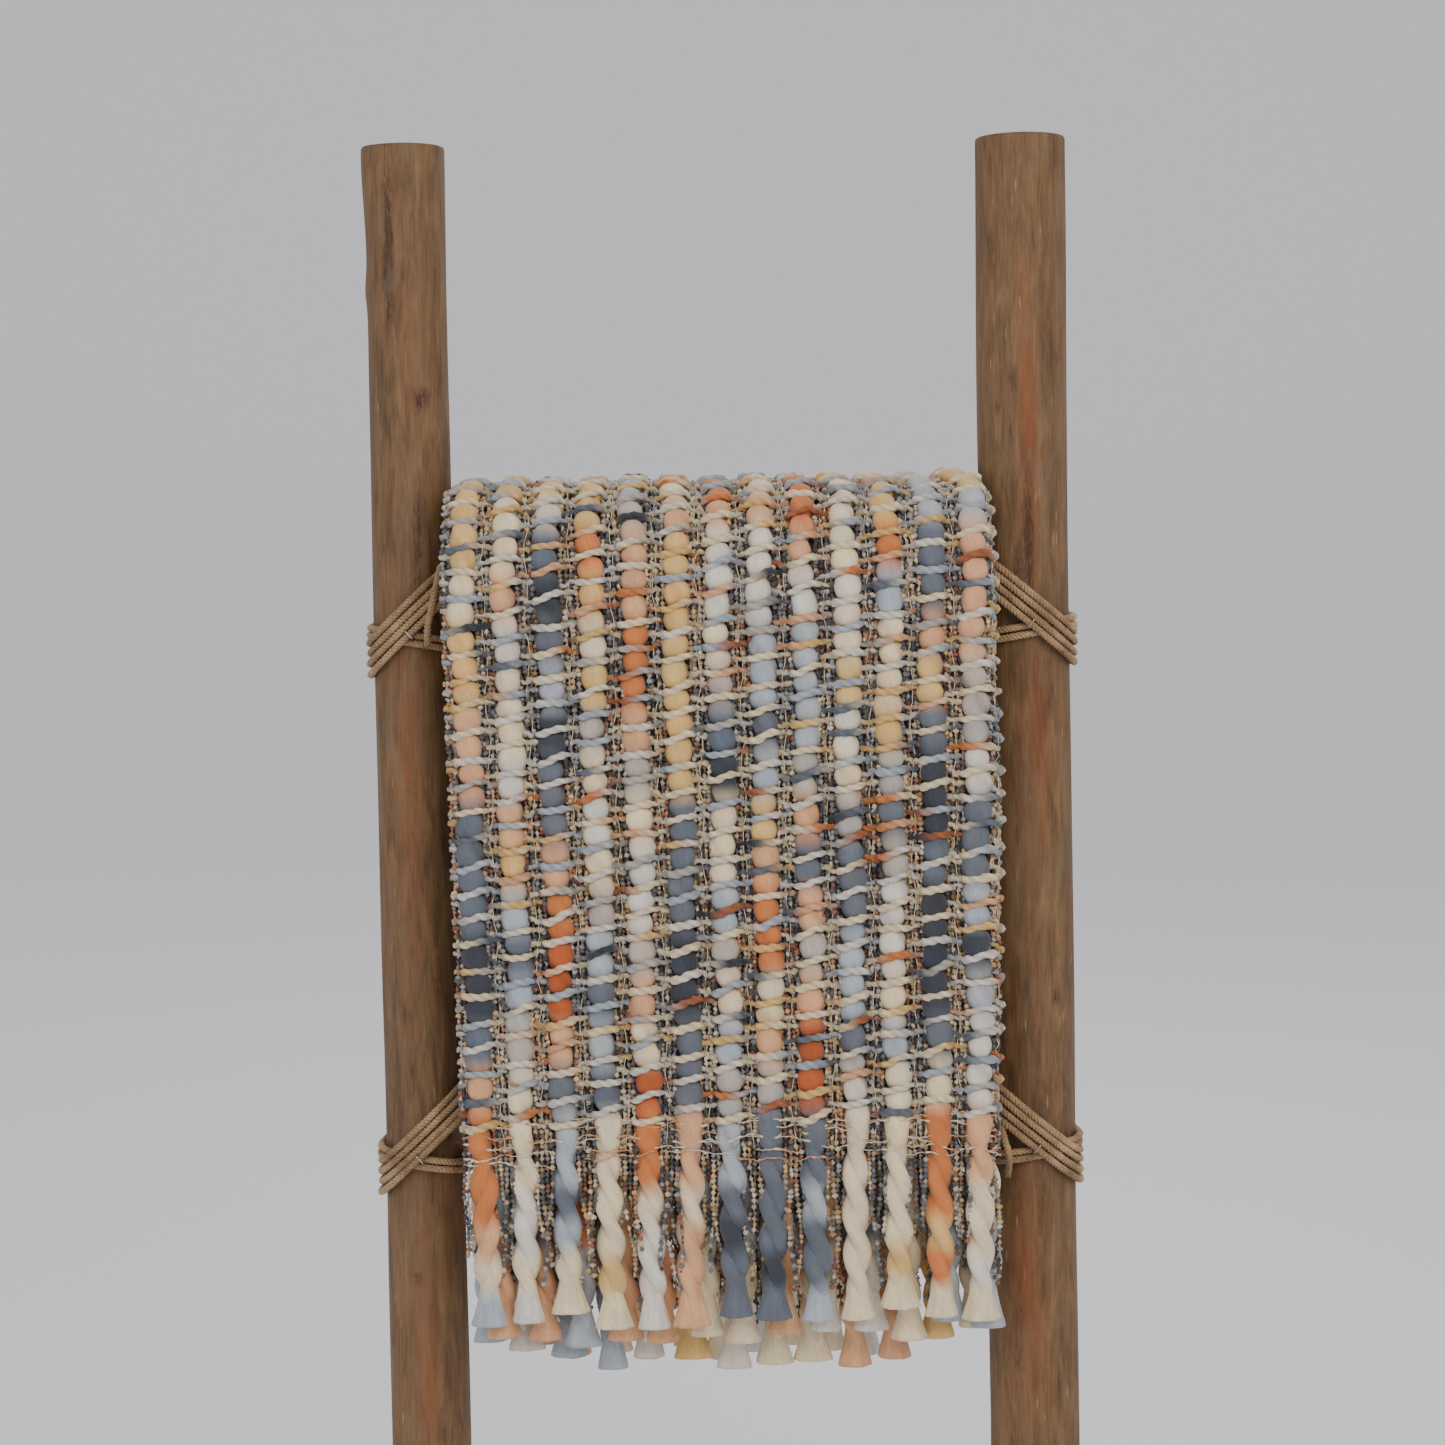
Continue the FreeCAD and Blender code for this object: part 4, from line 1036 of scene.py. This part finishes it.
def twineTree():
    # plies laid round the route, then short hairs standing on them
    tree = bpy.data.node_groups.new("twine", "GeometryNodeTree")
    face = tree.interface
    face.new_socket(name="Geometry", in_out="INPUT", socket_type="NodeSocketGeometry")
    for name, kind in (("Step", "NodeSocketFloat"), ("Plies", "NodeSocketInt"), ("Ply offset", "NodeSocketFloat"),
                       ("Ply radius", "NodeSocketFloat"), ("Lay", "NodeSocketFloat"), ("Sides", "NodeSocketInt"),
                       ("Hair density", "NodeSocketFloat"), ("Hair length", "NodeSocketFloat"),
                       ("Hair radius", "NodeSocketFloat"), ("Seed", "NodeSocketInt")):
        face.new_socket(name=name, in_out="INPUT", socket_type=kind)
    face.new_socket(name="Material", in_out="INPUT", socket_type="NodeSocketMaterial")
    face.new_socket(name="Geometry", in_out="OUTPUT", socket_type="NodeSocketGeometry")
    given = addNode(tree, "NodeGroupInput").outputs
    even = addNode(tree, "GeometryNodeResampleCurve", {"Curve": given["Geometry"], "Length": given["Step"]},
                   mode="LENGTH")
    copies = addNode(tree, "GeometryNodeDuplicateElements", {"Geometry": even, "Amount": given["Plies"]},
                     domain="SPLINE")
    along = addNode(tree, "GeometryNodeSplineParameter").outputs["Length"]
    turns = addNode(tree, "ShaderNodeMath", {0: along, 1: given["Lay"]}, operation="DIVIDE")
    share = addNode(tree, "ShaderNodeMath", {0: copies.outputs["Duplicate Index"], 1: given["Plies"]},
                    operation="DIVIDE")
    sums = addNode(tree, "ShaderNodeMath", {0: turns, 1: share}, operation="ADD")
    angle = addNode(tree, "ShaderNodeMath", {0: sums, 1: 2 * math.pi}, operation="MULTIPLY")
    cosine, sine = [addNode(tree, "ShaderNodeMath", {0: angle}, operation=name) for name in ("COSINE", "SINE")]
    normal = addNode(tree, "GeometryNodeInputNormal")
    tangent = addNode(tree, "GeometryNodeInputTangent")
    beside = addNode(tree, "ShaderNodeVectorMath", {0: tangent, 1: normal}, operation="CROSS_PRODUCT")
    first, second = [addNode(tree, "ShaderNodeVectorMath", {0: way, "Scale": size}, operation="SCALE")
                     for way, size in ((normal, cosine), (beside, sine))]
    both = addNode(tree, "ShaderNodeVectorMath", {0: first, 1: second}, operation="ADD")
    offset = addNode(tree, "ShaderNodeVectorMath", {0: both, "Scale": given["Ply offset"]}, operation="SCALE")
    laid = addNode(tree, "GeometryNodeSetPosition", {"Geometry": copies, "Offset": offset})
    ring = addNode(tree, "GeometryNodeCurvePrimitiveCircle",
                   {"Resolution": given["Sides"], "Radius": given["Ply radius"]})
    plies = addNode(tree, "GeometryNodeCurveToMesh", {"Curve": laid, "Profile Curve": ring, "Fill Caps": True})
    spots = addNode(tree, "GeometryNodeDistributePointsOnFaces",
                    {"Mesh": plies, "Density": given["Hair density"], "Seed": given["Seed"]})
    stalk = addNode(tree, "GeometryNodeMeshCone",
                    {"Vertices": 3, "Radius Bottom": given["Hair radius"], "Radius Top": 0.0,
                     "Depth": given["Hair length"]}, fill_type="NGON")
    leaning = addNode(tree, "FunctionNodeRandomValue",
                      {0: (-1.2, -1.2, -3.1), 1: (1.2, 1.2, 3.1), "Seed": given["Seed"]}, data_type="FLOAT_VECTOR")
    tilted = addNode(tree, "FunctionNodeRotateRotation",
                     {"Rotation": spots.outputs["Rotation"], "Rotate By": leaning}, rotation_space="LOCAL")
    sizes = addNode(tree, "FunctionNodeRandomValue", {2: 0.3, 3: 1.1, "Seed": given["Seed"]}, data_type="FLOAT")
    hairs = addNode(tree, "GeometryNodeInstanceOnPoints",
                    {"Points": spots, "Instance": stalk, "Rotation": tilted, "Scale": sizes.outputs[1]})
    real = addNode(tree, "GeometryNodeRealizeInstances", {"Geometry": hairs})
    joined = addNode(tree, "GeometryNodeJoinGeometry")
    for part in (plies, real):
        tree.links.new(part.outputs[0], joined.inputs["Geometry"])
    shaded = addNode(tree, "GeometryNodeSetShadeSmooth", {"Geometry": joined})
    painted = addNode(tree, "GeometryNodeSetMaterial", {"Geometry": shaded, "Material": given["Material"]})
    addNode(tree, "NodeGroupOutput", {"Geometry": painted})
    return tree


twineNodes = twineTree()


def setInputs(modifier, values):
    for item in modifier.node_group.interface.items_tree:
        if item.in_out == "INPUT" and item.name in values:
            modifier[item.identifier] = values[item.name]


def twinePiece(name, routes, number):
    # routes are lists of corner points, and a smooth spline passes near each
    curve = bpy.data.curves.new(name + "_route", "CURVE")
    curve.dimensions = "3D"
    curve.resolution_u = 8
    for route in routes:
        spline = curve.splines.new("NURBS")
        spline.points.add(len(route) - 1)
        for point, corner in zip(spline.points, route):
            point.co = tuple(np.asarray(corner) * milli) + (1.0,)
        spline.order_u = 3
        spline.use_endpoint_u = True
    holder = addObject(name + "_route", curve)
    modifier = holder.modifiers.new("twine", "NODES")
    modifier.node_group = twineNodes
    setInputs(modifier, {"Step": twine["step"][number % 10 > 2] * milli, "Plies": twine["plies"],
                         "Ply offset": twine["plyOffset"] * milli, "Ply radius": twine["plyRadius"] * milli,
                         "Lay": twine["lay"] * milli, "Sides": twine["sides"],
                         "Hair density": twine["hairs"] / milli ** 2 * 0.12,
                         "Hair length": twine["hairLength"] * milli, "Hair radius": twine["hairRadius"] * milli,
                         "Seed": twine["seed"] + number,
                         "Material": juteTwine})
    evaluated = holder.evaluated_get(bpy.context.evaluated_depsgraph_get())
    mesh = bpy.data.meshes.new_from_object(evaluated)
    mesh.name = name
    bpy.data.objects.remove(holder)
    print("made", name, len(mesh.polygons), "faces")
    return addObject(name, mesh)


def windings(side, number):
    # two turns round the pole under the rung, then four turns over the rung and low
    outward = -1 if side == "left" else 1
    pitch = 2 * twine["strandRadius"] + twine["strandGap"]
    off = twine["strandRadius"] + twine["strandGap"]
    rise = rungRadius(number) + off
    outer = poleRadius[side] + off
    far = outer + 2 * twine["strandRadius"] + twine["strandGap"]
    tilt = math.atan2(rise, outer)
    stepIn = pitch / math.sin(tilt)
    stepUp = pitch / math.cos(tilt)
    rng = np.random.default_rng(90 + number * 2 + (side == "left"))
    lowest = twine["underTurns"] - 1
    drop = twine["underDrop"] * pitch
    route = [(-outer - lowest * pitch, outer, -rise - lowest * drop)]
    for turn in range(twine["underTurns"]):
        below = lowest - turn
        inner = outer + below * pitch
        level = -rise + (turn + 1) * pitch
        route += [(-inner, -outer, -rise - below * drop), (outer, -outer, level), (outer, outer, level)]
        if turn < lowest:
            route.append((-inner + pitch, outer, -rise - below * drop + drop))
    route.append((-outer, far, rise))
    for turn in range(twine["overTurns"]):
        inner = outer + turn * stepIn
        low = -rise - turn * stepUp
        route += [(-inner, -far, rise), (outer, -far, low), (outer, far, low)]
        if turn < twine["overTurns"] - 1:
            route.append((-inner - stepIn, far, rise))
    route.append((0, far, low + outer * math.tan(tilt)))
    corners = []
    for across, back, up in route:
        jitter = rng.uniform(-0.7, 0.7, 3)
        corners.append(onLadder(poleAcross[side] + outward * across + jitter[0],
                                rungAlong[number - 1] + up + jitter[1], -back))
    return corners


def cutTail(side, number, start, bend):
    # the cut end of a lashing, hanging loose in front of it
    x, along, out = start
    return [onLadder(poleAcross[side] + x + dx, rungAlong[number - 1] + along - down, out + dOut)
            for dx, down, dOut in bend]


# where each loose end leaves its joint, then its bends
tails = {("left", 4): ((24, 22, 45), [(2, -6, -3), (0, 4, 1), (-3, 16, 2), (-6, 30, 1), (-10, 44, 0), (-9, 56, 1)]),
         ("right", 3): ((-26, -12, 46), [(-2, -6, -3), (0, 4, 1), (3, 14, 2), (4, 24, 1), (2, 34, 0)])}
for side in ("left", "right"):
    for number in (1, 2, 3, 4):
        routes = [windings(side, number)]
        if (side, number) in tails:
            routes.append(cutTail(side, number, *tails[side, number]))
        lashing = twinePiece("twine_%s_%d" % (side, number), routes, number + (10 if side == "left" else 0))
        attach(lashing, "ladder")
        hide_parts("lashing_%s_%d" % (side, number))


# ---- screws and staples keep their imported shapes

def steelTree(tree, code, roughness, scratch):
    # Zinc-plated steel. To the eye: grey, with a soft shine broken by fine handling marks.
    place = addNode(tree, "ShaderNodeTexCoord").outputs["Object"]
    marks = addNode(tree, "ShaderNodeTexNoise", {"Vector": place, "Scale": 1 / (scratch * milli), "Detail": 4.0})
    rough = addNode(tree, "ShaderNodeMapRange",
                    {"Value": marks, "To Min": roughness - 0.08, "To Max": roughness + 0.15})
    tone = addNode(tree, "ShaderNodeMix", {0: marks, 6: opaque(code), 7: opaque("#8d8b86")}, data_type="RGBA")
    return addNode(tree, "ShaderNodeBsdfPrincipled",
                   {"Base Color": tone.outputs[2], "Metallic": 1.0, "Roughness": rough})


screwSteel = makeMaterial("zinc-plated screw steel", steelTree, "#a9a8a2", 0.38, 1.5)
stapleSteel = makeMaterial("galvanised staple wire", steelTree, "#c4c4c0", 0.25, 1.0)
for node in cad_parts:
    name = node if isinstance(node, str) else node.get("name", "")
    finish = screwSteel if name.startswith("screw") else stapleSteel if name.startswith("staple") else None
    if finish:
        for slot in bpy.data.objects[name].material_slots:
            slot.material = finish


# ---- the throw pieces join the throw body, and the imported cloth and fringes are hidden

for piece in throwPieces + [throwGround]:
    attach(piece, "throw")
    "fringe_yarn" if "tassels" in piece.name or "loose" in piece.name else "throw_weave"
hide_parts("throw_body")
for name in ("front", "back"):
    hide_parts("throw_fringe_" + name)


# ---- floor and light

floorSize = dict(half=6.0, bend=2.2, height=6.0, steps=24)


def addFloor():
    # level underfoot, then swept up behind
    half, bend = floorSize["half"], floorSize["bend"]
    turns = [math.pi / 2 * step / floorSize["steps"] for step in range(floorSize["steps"] + 1)]
    profile = [(-half, 0)] + [(half + bend * math.sin(turn), bend * (1 - math.cos(turn))) for turn in turns]
    profile.append((half + bend, floorSize["height"]))
    points = [(x, y, z) for y, z in profile for x in (-2 * half, 2 * half)]
    mesh = bpy.data.meshes.new("floor")
    mesh.from_pydata(points, [], [(2 * i, 2 * i + 1, 2 * i + 3, 2 * i + 2) for i in range(len(profile) - 1)])
    mesh.shade_smooth()
    material = bpy.data.materials.new("pale matt floor")
    material.use_nodes = True
    shader = material.node_tree.nodes["Principled BSDF"]
    shader.inputs["Base Color"].default_value = opaque("#f3f3f5")
    shader.inputs["Roughness"].default_value = 0.8
    mesh.materials.append(material)
    addObject("floor", mesh)


lamps = [
    ("key", (0.9, -2.6, 3.6), 2.0, 58, "#fff4e6"),
    ("fill", (-2.2, -2.4, 2.2), 2.6, 14, "#f8f8ff"),
    ("back", (0.4, 2.6, 2.9), 2.4, 26, "#ffffff"),
]


def addLights():
    world = bpy.data.worlds.new("pale studio")
    bpy.context.scene.world = world
    world.use_nodes = True
    background = world.node_tree.nodes["Background"]
    background.inputs["Color"].default_value = opaque("#c3c3c6")
    background.inputs["Strength"].default_value = 1.27
    aim = Vector((0.0, 0.05, 1.25))
    for name, place, size, power, code in lamps:
        data = bpy.data.lights.new(name, "AREA")
        data.shape = "SQUARE"
        data.size = size
        data.energy = power
        data.color = toLinear(code)
        lamp = addObject(name, data)
        lamp.location = place
        lamp.rotation_euler = (aim - Vector(place)).to_track_quat("-Z", "Y").to_euler()


addFloor()
addLights()
print("floor and lights set")
